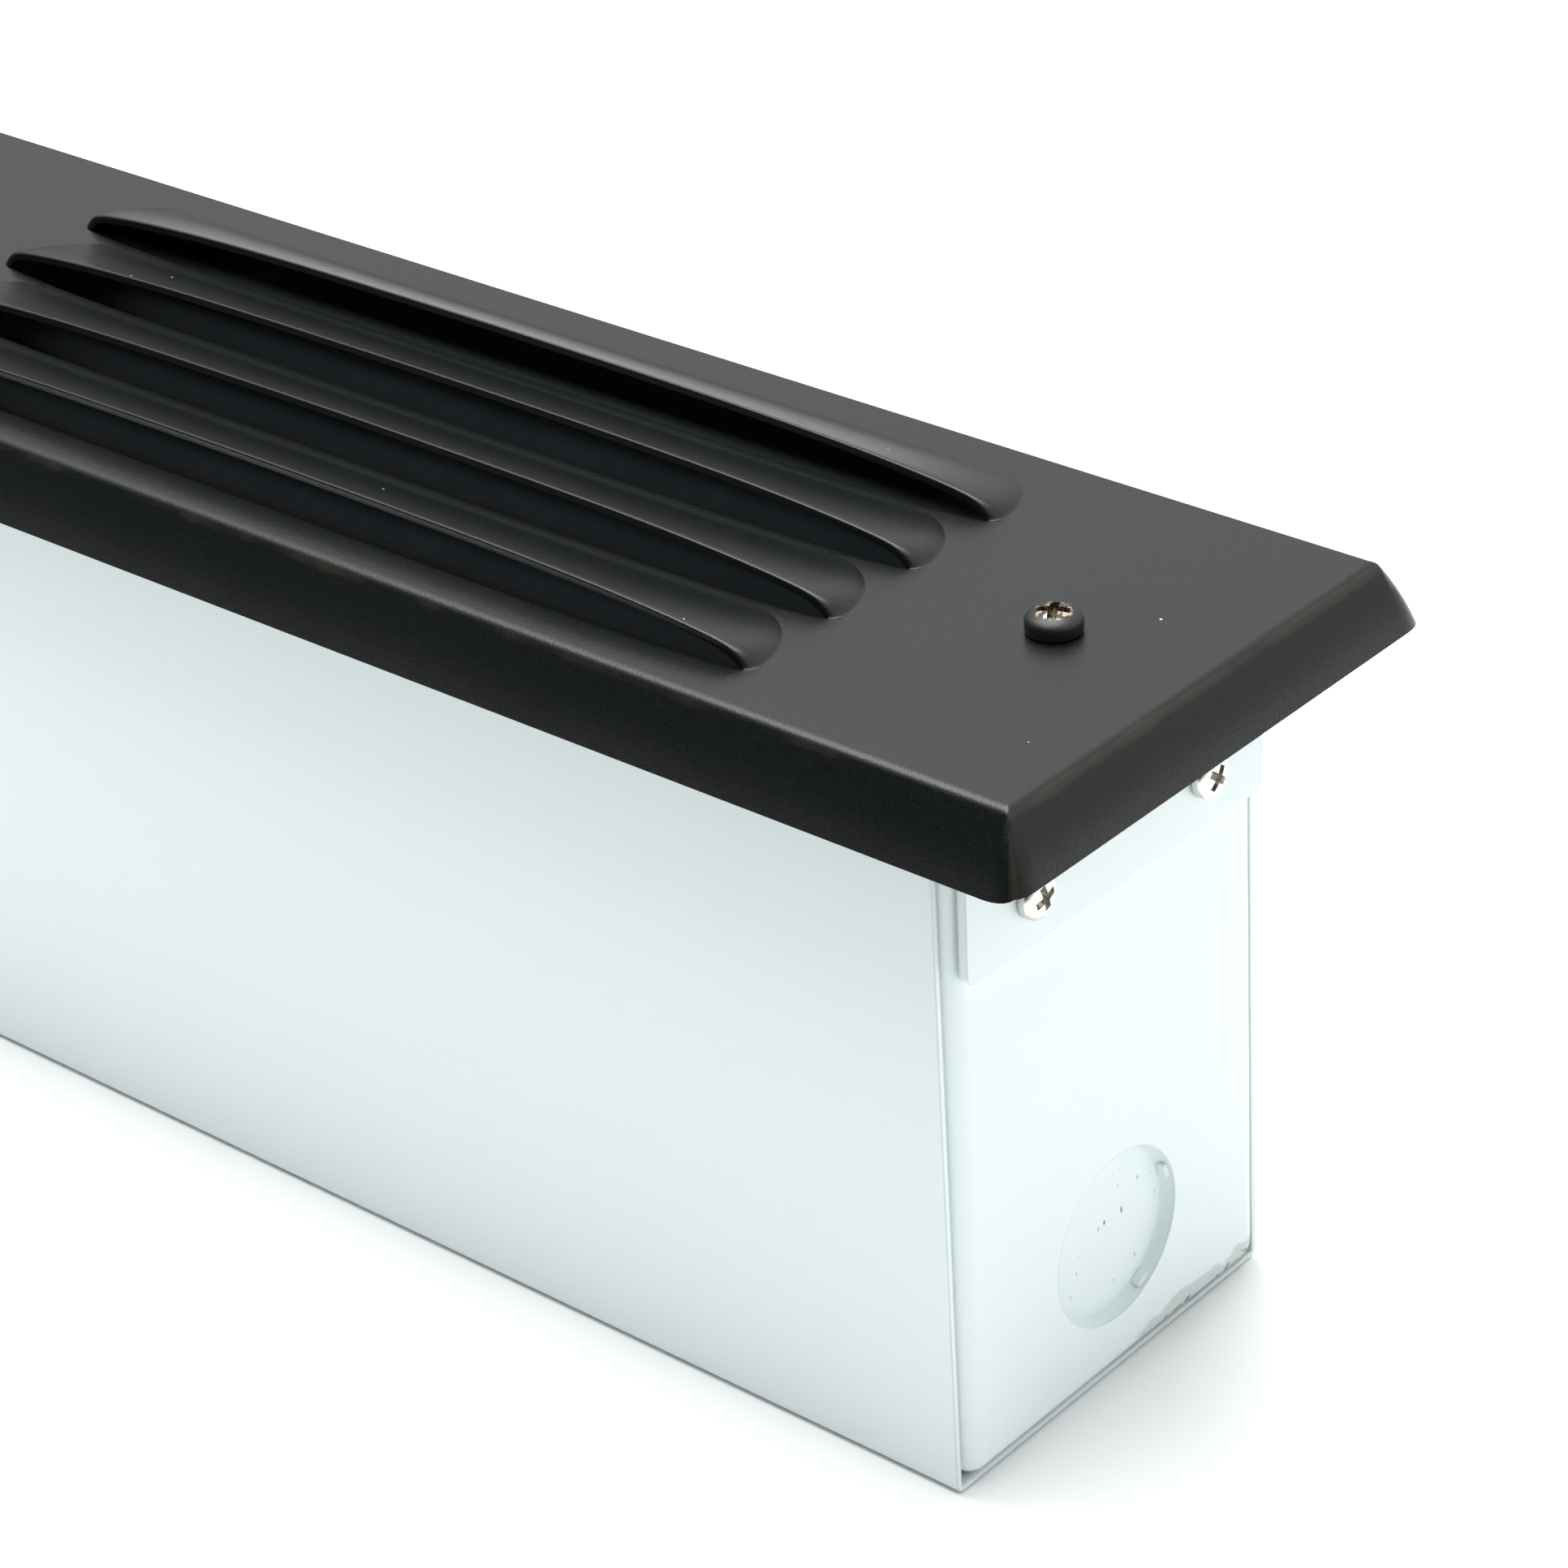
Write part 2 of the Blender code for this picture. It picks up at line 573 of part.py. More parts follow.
def make_cover():
    """A drawn sheet with open slits: an outer and an inner face joined along every edge."""
    reach = FOLD_RADIUS * math.tan(math.atan2(COVER_DROP, COVER_FLARE) / 2)
    flat = (COVER_LENGTH / 2 - COVER_FLARE - reach, COVER_WIDTH / 2 - COVER_FLARE - reach)
    rows, columns = cover_rows(flat[1]), cover_columns(flat[0])
    bm = bmesh.new()
    outer = cover_layer(bm, rows, columns, flat, 0.0)
    inner = cover_layer(bm, rows, columns, flat, COVER_SHEET)

    def face(*corners):
        corners = list(dict.fromkeys(corners))
        if len(corners) > 2:
            bm.faces.new(corners)

    last_row, last_column = len(rows) - 1, len(columns) - 1
    for r in range(last_row):
        slit = rows[r][2] == "edge"
        for c in range(last_column):
            if slit:
                for row in (r, r + 1):
                    if outer[r][c] != outer[r + 1][c] or outer[r][c + 1] != outer[r + 1][c + 1]:
                        face(outer[row][c], outer[row][c + 1], inner[row][c + 1], inner[row][c])
                continue
            face(outer[r][c], outer[r][c + 1], outer[r + 1][c + 1], outer[r + 1][c])
            face(inner[r][c], inner[r + 1][c], inner[r + 1][c + 1], inner[r][c + 1])
    for c in range(last_column):
        for row in (0, last_row):
            face(outer[row][c], outer[row][c + 1], inner[row][c + 1], inner[row][c])
    for r in range(last_row):
        for column in (0, last_column):
            face(outer[r][column], outer[r + 1][column], inner[r + 1][column], inner[r][column])
    cover = add_object("louvre_cover", bm, "cover_black", smooth_angle=40)
    combine(cover, [rod(COVER_SCREW_SHANK + GAP, COVER_TOP - 4 * MM, COVER_TOP + 2 * MM, (side * COVER_SCREW_X, 0, 0))
                    for side in (-1, 1)])


# --- fasteners ---------------------------------------------------------------------------------

def make_outer_screws():
    for label, side in (("right", 1), ("left", -1)):
        screw("cover_screw_" + label, COVER_SCREW_HEAD, COVER_SCREW_RISE, COVER_SCREW_SHANK, COVER_SCREW_LENGTH,
              "screw_black", (side * COVER_SCREW_X, 0, COVER_TOP + GAP), "Z")
        seat = CAP_FACE + GAP + BRACKET_SHEET + GAP
        for place, shift in (("front", -1), ("back", 1)):
            screw(f"bracket_screw_{label}_{place}", BRACKET_SCREW_HEAD, BRACKET_SCREW_RISE, BRACKET_SCREW_SHANK,
                  BRACKET_SCREW_LENGTH, "screw_zinc",
                  (side * seat, shift * BRACKET_SCREW_SPACING / 2, BRACKET_SCREW_HEIGHT), "X" if side > 0 else "-X")


# --- lighting gear -----------------------------------------------------------------------------

def make_tray():
    """A folded reflector tray with end tabs that the bracket screws pass through."""
    half = TRAY_HALF_WIDTH
    outer = filleted([(-half, TRAY_RIM), (-half, TRAY_FLOOR), (half, TRAY_FLOOR), (half, TRAY_RIM)], TRAY_BEND)
    inner_half = half - TRAY_SHEET
    inner = filleted([(-inner_half, TRAY_RIM), (-inner_half, TRAY_FLOOR + TRAY_SHEET),
                      (inner_half, TRAY_FLOOR + TRAY_SHEET), (inner_half, TRAY_RIM)], TRAY_BEND - TRAY_SHEET)
    length = TRAY_HALF_LENGTH
    tray = extruded("reflector_tray", outer + inner[::-1], "X", -length, length, "tray_white")
    tab_half = half - TRAY_SHEET / 2
    for side in (-1, 1):
        ends = sorted((side * length, side * (length - TRAY_SHEET)))
        tab = box("tab", (ends[0], -tab_half, TRAY_FLOOR + TRAY_SHEET / 2), (ends[1], tab_half, TRAY_RIM))
        combine(tray, [tab], "UNION")
        for y in (-BRACKET_SCREW_SPACING / 2, BRACKET_SCREW_SPACING / 2):
            centre = (side * length, y, BRACKET_SCREW_HEIGHT)
            combine(tray, [rod(BRACKET_SCREW_SHANK + GAP, -3 * MM, 3 * MM, centre, "X")])
    drop = TRAY_FLOOR + TRAY_SHEET
    spots = [(x, 0.0, SMALL_SHANK + GAP) for x in (-BOARD_SCREW_X, BOARD_SCREW_X)]
    spots += [(GROMMET_X, GROMMET_Y, GROMMET_RADIUS - 1.2 * MM)]
    spots += [(*EARTH_SCREW, SMALL_SHANK + GAP)]
    spots += [(x, DRIVER_SCREW_Y, SMALL_SHANK + GAP) for x in driver_screw_places()]
    for x, y, radius in spots:
        combine(tray, [rod(radius, -2 * MM, 2 * MM, (x, y, drop))])


def driver_screw_places():
    reach = DRIVER_SIZE[0] / 2 + DRIVER_EAR / 2
    return (DRIVER_CENTRE_X - reach, DRIVER_CENTRE_X + reach)


def make_lens():
    """The diffuser, the gasket ring under it and the spring clips that hold it."""
    low = TRAY_RIM + GAP
    ring = box("lens_gasket", (-LENS_HALF_LENGTH, -LENS_HALF_WIDTH, low),
               (LENS_HALF_LENGTH, LENS_HALF_WIDTH, low + GASKET), "gasket_rubber")
    hole_x, hole_y = LENS_HALF_LENGTH - GASKET_WIDTH, LENS_HALF_WIDTH - GASKET_WIDTH
    combine(ring, [box("hole", (-hole_x, -hole_y, low - MM), (hole_x, hole_y, low + GASKET + MM))])
    low += GASKET + GAP
    box("diffuser_lens", (-LENS_HALF_LENGTH, -LENS_HALF_WIDTH, low),
        (LENS_HALF_LENGTH, LENS_HALF_WIDTH, low + LENS_THICKNESS), "lens_frost", 0.5 * MM, 2)
    top = low + LENS_THICKNESS + GAP
    wall = TRAY_HALF_WIDTH + GAP
    number = 0
    for side in (-1, 1):
        for x in (-CLIP_X, CLIP_X):
            number += 1
            outer = filleted([(wall + CLIP_SHEET, TRAY_RIM - 9 * MM), (wall + CLIP_SHEET, top + CLIP_SHEET),
                              (wall - 5 * MM, top + CLIP_SHEET)], 0.8 * MM, 3)
            inner = filleted([(wall, TRAY_RIM - 9 * MM), (wall, top), (wall - 5 * MM, top)], 0.3 * MM, 3)
            outline = [Vector((side * p.x, p.y)) for p in outer + inner[::-1]]
            extruded(f"lens_clip_{number}", outline, "X", x - CLIP_WIDTH / 2, x + CLIP_WIDTH / 2, "clip_steel")


def make_led_board():
    """The LED board, its emitters, terminal and screws."""
    low = TRAY_FLOOR + TRAY_SHEET + GAP
    board = box("led_board", (-BOARD[0] / 2, -BOARD[1] / 2, low), (BOARD[0] / 2, BOARD[1] / 2, low + BOARD[2]),
                "board_white", 0.8 * MM, 2, lambda e: along(e, 2))
    top = low + BOARD[2] + GAP
    for number, x in enumerate((-BOARD_SCREW_X, BOARD_SCREW_X), 1):
        combine(board, [rod(SMALL_SHANK + GAP, -3 * MM, 3 * MM, (x, 0, low))])
        screw(f"led_board_screw_{number}", SMALL_HEAD, SMALL_RISE, SMALL_SHANK, 5 * MM, "screw_zinc",
              (x, 0, top), "Z")
    for i in range(LED_COUNT):
        x = (i - (LED_COUNT - 1) / 2) * LED_PITCH
        box(f"led_emitter_{i + 1}", (x - LED_SIZE[0] / 2, -LED_SIZE[1] / 2, top),
            (x + LED_SIZE[0] / 2, LED_SIZE[1] / 2, top + LED_SIZE[2]), "led_yellow", 0.3 * MM, 1)
    terminal = box("led_terminal", (TERMINAL_X - 5 * MM, 4 * MM, top), (TERMINAL_X + 5 * MM, 9 * MM, top + 4 * MM),
                   "terminal_white", 0.4 * MM, 1)
    for shift in (-LEAD_SPREAD, LEAD_SPREAD):
        combine(terminal, [rod_y(LEAD_RADIUS + GAP, 7 * MM, 10 * MM, (TERMINAL_X + shift, 0, top + 2 * MM))])


def rod_y(radius, low, high, location):
    """A cylinder along Y, used to cut."""
    made = rod(radius, low, high, (0, 0, 0), "Z", 12)
    made.data.transform(Matrix.Rotation(-math.pi / 2, 4, "X"))
    made.location = location
    return made


def make_grommet():
    """A rubber ring with a groove that holds the tray's sheet."""
    waist = GROMMET_RADIUS - 1.2 * MM - GAP
    middle = TRAY_FLOOR + TRAY_SHEET / 2
    groove = TRAY_SHEET / 2 + GAP
    lip = groove + 1.2 * MM
    profile = [(GROMMET_BORE, -lip), (GROMMET_RADIUS, -lip), (GROMMET_RADIUS, -groove), (waist, -groove),
               (waist, groove), (GROMMET_RADIUS, groove), (GROMMET_RADIUS, lip), (GROMMET_BORE, lip)]
    turned("tray_grommet", profile, "gasket_rubber", (GROMMET_X, GROMMET_Y, middle), 24)


def make_driver():
    """The LED driver under the tray: an open case, its board and its lid."""
    length, width, height = DRIVER_SIZE
    top = TRAY_FLOOR - GAP
    x0, x1 = DRIVER_CENTRE_X - length / 2, DRIVER_CENTRE_X + length / 2
    case = box("driver_case", (x0, -width / 2, top - height), (x1, width / 2, top), "driver_case", 1.2 * MM, 2,
               lambda e: along(e, 2))
    ears = box("ears", (x0 - DRIVER_EAR, DRIVER_SCREW_Y - 4 * MM, top - DRIVER_WALL),
               (x1 + DRIVER_EAR, DRIVER_SCREW_Y + 4 * MM, top))
    combine(case, [ears], "UNION")
    wall = DRIVER_WALL
    pocket = (top - height - MM, top - wall)
    combine(case, [box("pocket", (x0 + wall, -width / 2 + wall, pocket[0]), (x1 - wall, width / 2 - wall, pocket[1]))])
    for x in driver_screw_places():
        combine(case, [rod(SMALL_SHANK + GAP, -3 * MM, 3 * MM, (x, DRIVER_SCREW_Y, top))])
    ports = [(x0, y) for y in (-LEAD_SPACING, 0.0, LEAD_SPACING)] + [(x1, y) for y in (-2 * MM, 2 * MM)]
    for x, y in ports:
        combine(case, [rod(LEAD_RADIUS + GAP, -3 * MM, 3 * MM, (x, y, LEAD_HEIGHT), "X", 12)])
    low = top - height
    inset = wall + GAP
    box("driver_lid", (x0 + inset, -width / 2 + inset, low), (x1 - inset, width / 2 - inset, low + wall),
        "driver_case", 0.4 * MM, 1)
    board = box("driver_board", (x0 + 6 * MM, -width / 2 + 3 * MM, low + 5 * MM),
                (x1 - 6 * MM, width / 2 - 3 * MM, low + 6.6 * MM), "driver_board")
    blocks = [(-24, 12, 10, 9), (-6, 16, 14, 11), (12, 9, 9, 10), (26, 12, 6, 8)]
    for shift, across, along_x, tall in blocks:
        x = DRIVER_CENTRE_X + shift * MM
        block = box("block", (x - along_x * MM / 2, -across * MM / 2, low + 5.5 * MM),
                    (x + along_x * MM / 2, across * MM / 2, low + (5.5 + tall) * MM))
        combine(board, [block], "UNION")
    for number, x in enumerate(driver_screw_places(), 1):
        screw(f"driver_screw_{number}", SMALL_HEAD, SMALL_RISE, SMALL_SHANK, 5 * MM, "screw_zinc",
              (x, DRIVER_SCREW_Y, top - DRIVER_WALL - GAP), "-Z")


def make_supply_leads():
    """Three leads from the driver down to the twist-on nuts where the supply joins."""
    start = DRIVER_CENTRE_X - DRIVER_SIZE[0] / 2 - 0.5 * MM
    looks = {"line": "lead_black", "neutral": "lead_white"}
    shifts = {"line": -LEAD_SPACING, "neutral": 0.0}
    for name, (x, y) in NUT_PLACES.items():
        profile = [(0, -2 * MM), (2.2 * MM, -2 * MM), (4.6 * MM, -NUT_HEIGHT + 1 * MM), (4.6 * MM, -NUT_HEIGHT - 2 * MM),
                   (3.6 * MM, -NUT_HEIGHT - 2 * MM), (2.4 * MM, -6 * MM), (0, -6 * MM)]
        profile = [(r, -z) for r, z in profile][::-1]
        turned(f"{name}_wire_nut", profile, "nut_orange", (x, y, 2 * MM), 18)
        mouth = Vector((x, y, NUT_BASE + 2 * MM))
        if name == "earth":
            ring = Vector((EARTH_SCREW[0], EARTH_SCREW[1], TRAY_FLOOR - GAP))
            points = [ring + Vector((6.5 * MM, 0, -0.5 * MM)), ring + Vector((11 * MM, 1 * MM, -4 * MM)),
                      Vector((-78 * MM, 18 * MM, 42 * MM)), mouth + Vector((0, 0, 9 * MM)), mouth - Vector((0, 0, 8 * MM))]
            lead("earth_lead", points, "lead_green")
            continue
        points = [Vector((start, shifts[name], LEAD_HEIGHT)), Vector((start - 5 * MM, shifts[name], LEAD_HEIGHT)),
                  Vector(((start + x) / 2 - 2 * MM, (shifts[name] + y) / 2, LEAD_HEIGHT - 6 * MM)),
                  mouth + Vector((0, 0, 9 * MM)), mouth - Vector((0, 0, 8 * MM))]
        lead(f"{name}_lead", points, looks[name])


def make_earth():
    """The bonding screw under the tray and the ring terminal it holds."""
    x, y = EARTH_SCREW
    ring_top = TRAY_FLOOR - GAP
    sheet = 0.8 * MM
    ring = turned("earth_ring", [(SMALL_SHANK + GAP, -sheet), (3.4 * MM, -sheet), (3.4 * MM, 0), (SMALL_SHANK + GAP, 0)],
                  "ring_copper", (x, y, ring_top), 20)
    tail = box("tail", (x + 2.8 * MM, y - 1.2 * MM, ring_top - sheet), (x + 6 * MM, y + 1.2 * MM, ring_top))
    combine(ring, [tail], "UNION")
    screw("earth_screw", SMALL_HEAD, SMALL_RISE, SMALL_SHANK, 5 * MM, "earth_green",
          (x, y, ring_top - sheet - GAP), "-Z")


def make_led_leads():
    """Two leads from the driver, up through the grommet to the LED board's terminal."""
    start = DRIVER_CENTRE_X + DRIVER_SIZE[0] / 2 + 0.5 * MM
    top = TRAY_FLOOR + TRAY_SHEET + GAP + BOARD[2] + GAP + 2 * MM
    for name, look, shift in (("led_lead_positive", "lead_red", 1), ("led_lead_negative", "lead_black", -1)):
        offset = -shift * LEAD_SPREAD
        points = [Vector((start, 2 * MM * shift, LEAD_HEIGHT)), Vector((start + 5 * MM, 2.4 * MM * shift, LEAD_HEIGHT - MM)),
                  Vector((GROMMET_X + offset - 4 * MM, GROMMET_Y - 4 * MM, LEAD_HEIGHT)),
                  Vector((GROMMET_X + offset, GROMMET_Y, TRAY_FLOOR - 4 * MM)),
                  Vector((GROMMET_X + offset, GROMMET_Y, TRAY_FLOOR + 3 * MM)),
                  Vector((TERMINAL_X + offset - 2 * MM, GROMMET_Y - 2.5 * MM, top + 1.5 * MM)),
                  Vector((TERMINAL_X + offset, 9.5 * MM, top)), Vector((TERMINAL_X + offset, 7.6 * MM, top))]
        lead(name, points, look, 0.7 * MM)


def main():
    clear_scene()
    make_channel()
    for label, side in (("right", 1), ("left", -1)):
        make_end_cap("end_cap_" + label, side)
        make_bracket("mount_bracket_" + label, side)
    make_cover()
    make_outer_screws()
    make_tray()
    make_lens()
    make_led_board()
    make_grommet()
    make_driver()
    make_supply_leads()
    make_earth()
    make_led_leads()


main()
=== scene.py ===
"""Looks for the recessed louvred brick light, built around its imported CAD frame. Metres, +Z up."""
import json
import math

import bmesh
import bpy
from mathutils import Matrix, Vector


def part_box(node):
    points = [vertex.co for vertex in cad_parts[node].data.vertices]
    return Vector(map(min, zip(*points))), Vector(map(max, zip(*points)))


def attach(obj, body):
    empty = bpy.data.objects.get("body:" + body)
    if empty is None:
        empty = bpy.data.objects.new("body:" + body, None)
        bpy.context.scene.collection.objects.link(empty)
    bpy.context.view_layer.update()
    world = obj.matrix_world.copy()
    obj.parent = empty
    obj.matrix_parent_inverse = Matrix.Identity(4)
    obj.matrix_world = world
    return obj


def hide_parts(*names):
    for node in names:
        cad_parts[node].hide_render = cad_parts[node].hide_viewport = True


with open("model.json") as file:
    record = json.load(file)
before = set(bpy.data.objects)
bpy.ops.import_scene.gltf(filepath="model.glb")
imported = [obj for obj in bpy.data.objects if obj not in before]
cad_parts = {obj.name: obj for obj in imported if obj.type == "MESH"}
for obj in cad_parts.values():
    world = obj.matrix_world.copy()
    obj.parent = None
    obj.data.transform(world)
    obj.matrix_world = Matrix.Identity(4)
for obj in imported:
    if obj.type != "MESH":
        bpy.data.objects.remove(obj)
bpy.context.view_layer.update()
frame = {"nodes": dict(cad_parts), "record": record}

MM = 0.001
DECK = bpy.context.scene.collection

# Sizes read from the frame
COVER_LOW, COVER_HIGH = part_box("louvre_cover")
CHANNEL_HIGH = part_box("housing_channel")[1]
CAP_LOW, CAP_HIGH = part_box("end_cap_right")
LENS_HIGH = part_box("diffuser_lens")[1]

# Cover: the flat and the flange around it
COVER_SHEET = 1.0 * MM
COVER_DROP = 8.9 * MM
COVER_FLARE = 3.8 * MM
COVER_SLOPE = math.atan2(COVER_DROP, COVER_FLARE)
COVER_TOP = COVER_LOW.z + COVER_DROP + COVER_SHEET * math.cos(COVER_SLOPE)
END_TRIM = 0.9 * MM
FOLD_RADIUS = 1.5 * MM
FOLD_ARC = FOLD_RADIUS * COVER_SLOPE
FLANGE_RUN = math.hypot(COVER_DROP, COVER_FLARE) - FOLD_RADIUS * math.tan(COVER_SLOPE / 2)
CORNER_POWER = 4.0
FLANGE_CROWN = 0.25 * MM
FOLD_STEPS = 7
FLANGE_STEPS = 5
WEAR_MIDDLE = 0.16
WEAR_SPREAD = 0.09

# Cover: the louvres
LOUVRE_ROWS = 4
LOUVRE_PITCH = 14.08 * MM
LOUVRE_HALF = 74.7 * MM
LOUVRE_BACK_ROW = 16.55 * MM
LOUVRE_BOW = 1.6 * MM
BOW_RUN = 10.0 * MM
HOOD_DEPTH = 10.8 * MM
HOOD_END_DEPTH = 1.2 * MM
HOOD_EASE = 0.16
TIP_GUARD = 0.15 * MM
LIP_EASE = 0.2 * MM
LIP_ROLL = 0.4 * MM
NOSE_RISE = 2.05 * MM
NOSE_RUN = 1.1 * MM
CROWN_RISE = 2.8 * MM
CROWN_RUN = 18.0 * MM
END_LENGTH = 10.6 * MM
END_MIDDLE = 1.3 * MM
END_BULGE = 0.9 * MM
END_FADE = 12.0 * MM
HOOD_STEPS = 16
LIP_STEPS = 30
ROLL_STEPS = 4
BEYOND_TIPS = (1.4, 2.4, 4.0, 7.0, 12.0, 17.0, 27.0, 33.0)

# End caps
CAP_SHEET = 0.76 * MM
CAP_BEND = 2.8 * MM
CAP_ROOT = CAP_HIGH.x - 12.0 * MM
RELIEF = (4.4 * MM, 1.6 * MM, 1.0 * MM)
KNOCKOUT_RADIUS = 11.05 * MM
KNOCKOUT_HEIGHT = 19.6 * MM
KNOCKOUT_SINK = 1.6 * MM
KNOCKOUT_RIM = 0.5 * MM
TIE_ANGLES = (18.0, -60.0)
TIE_WIDTH = 2.2 * MM
TIE_REACH = 0.7 * MM
BRACKET_SCREW_OFFSET = 15.6 * MM
BRACKET_SCREW_HEIGHT = 74.0 * MM
BRACKET_SCREW_HOLE = 1.8 * MM
CUT_INSIDE = 3.0 * MM
CUT_OUTSIDE = 2.0 * MM

# Screws: the radius of a head and its rise, by what it holds
COVER_SCREW_X = 96.5 * MM
COVER_SCREW = (3.25 * MM, 2.5 * MM)
COVER_HOLE = 2.0 * MM
BRACKET_SCREW = (2.8 * MM, 1.8 * MM)
SMALL_SCREW = (2.4 * MM, 1.4 * MM)
THREAD_PITCH = 1.0 * MM
THREAD_DEPTH = 0.16 * MM
SHANKS = {"screw_black": 1.7 * MM, "screw_zinc": 1.5 * MM, "led_board_screw": 1.2 * MM,
          "driver_screw": 1.2 * MM, "earth_green": 1.2 * MM}


# --- mesh tools --------------------------------------------------------------------------------

def add_piece(name, bm, smooth_angle=35.0):
    """Turn a bmesh into a named object at the origin, smooth where it is round."""
    bmesh.ops.remove_doubles(bm, verts=bm.verts, dist=1e-7)
    bmesh.ops.recalc_face_normals(bm, faces=bm.faces)
    mesh = bpy.data.meshes.new(name)
    bm.to_mesh(mesh)
    bm.free()
    mesh.shade_smooth()
    mesh.set_sharp_from_angle(angle=math.radians(smooth_angle))
    piece = bpy.data.objects.new(name, mesh)
    DECK.objects.link(piece)
    return piece


def settle(piece):
    """Replace a piece's mesh with its evaluated one and drop its modifiers."""
    bpy.context.view_layer.update()
    graph = bpy.context.evaluated_depsgraph_get()
    mesh = bpy.data.meshes.new_from_object(piece.evaluated_get(graph))
    piece.modifiers.clear()
    piece.data = mesh
    return piece


def combine(piece, others, operation="DIFFERENCE"):
    """Cut or join solids in turn, and remove them afterwards."""
    for other in others:
        step = piece.modifiers.new("cut", "BOOLEAN")
        step.operation = operation
        step.solver = "EXACT"
        step.object = other
        settle(piece)
        bpy.data.objects.remove(other, do_unlink=True)
    return piece


def box_mesh(low, high):
    """A block between two corners."""
    bm = bmesh.new()
    bmesh.ops.create_cube(bm, size=1.0)
    size = Vector(high) - Vector(low)
    middle = (Vector(high) + Vector(low)) / 2
    place = Matrix.Translation(middle) @ Matrix.Diagonal((*size, 1.0))
    bmesh.ops.transform(bm, matrix=place, verts=bm.verts)
    return bm


def box(name, low, high, bevel=0.0, steps=3, chosen=None):
    """A named block, with every edge rounded or only the chosen ones."""
    bm = box_mesh(low, high)
    if bevel:
        edges = [edge for edge in bm.edges if chosen is None or chosen(edge)]
        bmesh.ops.bevel(bm, geom=edges, offset=bevel, segments=steps, affect="EDGES", profile=0.5)
    return add_piece(name, bm)


def turned(name, profile, place=(0, 0, 0), sides=48, axis="Z"):
    """Turn (radius, height) points about an axis, then move the solid to its place."""
    bm = bmesh.new()
    rings = []
    for radius, height in profile:
        count = 1 if radius == 0 else sides
        turns = [2 * math.pi * i / sides for i in range(count)]
        rings.append([bm.verts.new((radius * math.cos(a), radius * math.sin(a), height)) for a in turns])
    pairs = list(zip(rings, rings[1:]))
    if len(rings[0]) > 1:
        pairs.append((rings[-1], rings[0]))
    for low, high in pairs:
        for i in range(sides):
            j = (i + 1) % sides
            corners = [low[i % len(low)], low[j % len(low)], high[j % len(high)], high[i % len(high)]]
            bm.faces.new(list(dict.fromkeys(corners)))
    bmesh.ops.transform(bm, matrix=Matrix.Translation(place) @ AXIS_TURNS[axis], verts=bm.verts)
    return add_piece(name, bm)


AXIS_TURNS = {"Z": Matrix(), "-Z": Matrix.Rotation(math.pi, 4, "X"),
              "X": Matrix.Rotation(math.pi / 2, 4, "Y"), "-X": Matrix.Rotation(-math.pi / 2, 4, "Y")}


def rod(radius, low, high, place=(0, 0, 0), axis="Z", sides=48):
    return turned("rod", [(0, low), (radius, low), (radius, high), (0, high)], place, sides, axis)


def along(edge, axis):
    """Whether an edge runs along an axis."""
    direction = edge.verts[1].co - edge.verts[0].co
    return abs(direction[axis]) > 0.9 * direction.length


def middle_of(edge):
    return (edge.verts[0].co + edge.verts[1].co) / 2


# --- shader tools ------------------------------------------------------------------------------

def add_node(tree, kind, inputs=None, **settings):
    """Add a shader node; its inputs are values or the sockets that feed them."""
    node = tree.nodes.new(kind)
    for key, value in settings.items():
        setattr(node, key, value)
    for key, value in (inputs or {}).items():
        socket = node.inputs[key]
        if isinstance(value, bpy.types.NodeSocket):
            tree.links.new(value, socket)
        else:
            socket.default_value = value
    return node


def math_node(tree, operation, first, second=0.0):
    return add_node(tree, "ShaderNodeMath", {0: first, 1: second}, operation=operation).outputs[0]


def ramp(tree, value, low, high):
    """0 below low, 1 above high and smooth between them."""
    return add_node(tree, "ShaderNodeMapRange", {"Value": value, "From Min": low, "From Max": high},
                    interpolation_type="SMOOTHSTEP").outputs["Result"]


def noise(tree, place, scale, detail=3.0):
    return add_node(tree, "ShaderNodeTexNoise",
                    {"Vector": place, "Scale": scale, "Detail": detail}).outputs["Fac"]


def mix_colour(tree, share, first, second):
    return add_node(tree, "ShaderNodeMix", {0: share, 6: first, 7: second}, data_type="RGBA").outputs[2]


def new_group(name, inputs, outputs):
    """A shader group with named inputs (name, kind, default) and outputs (name, kind)."""
    tree = bpy.data.node_groups.new(name, "ShaderNodeTree")
    for title, kind, default in inputs:
        socket = tree.interface.new_socket(title, in_out="INPUT", socket_type="NodeSocket" + kind)
        if default is not None:
            socket.default_value = default
    for title, kind in outputs:
        tree.interface.new_socket(title, in_out="OUTPUT", socket_type="NodeSocket" + kind)
    return tree, tree.nodes.new("NodeGroupInput").outputs, tree.nodes.new("NodeGroupOutput").inputs


def make_specks_group():
    """Sparse small specks of dust or dirt: few cells of a cell pattern hold one each."""
    tree, given, result = new_group("specks", [("Place", "Vector", None), ("Scale", "Float", 400.0),
                                               ("Amount", "Float", 0.03), ("Size", "Float", 0.18)],
                                    [("Mask", "Float")])
    cells = add_node(tree, "ShaderNodeTexVoronoi", {"Vector": given["Place"], "Scale": given["Scale"]})
    lot = add_node(tree, "ShaderNodeSeparateColor", {"Color": cells.outputs["Color"]}).outputs["Red"]
    chosen = math_node(tree, "LESS_THAN", lot, given["Amount"])
    near = math_node(tree, "LESS_THAN", cells.outputs["Distance"], given["Size"])
    tree.links.new(math_node(tree, "MULTIPLY", chosen, near), result["Mask"])
    return tree


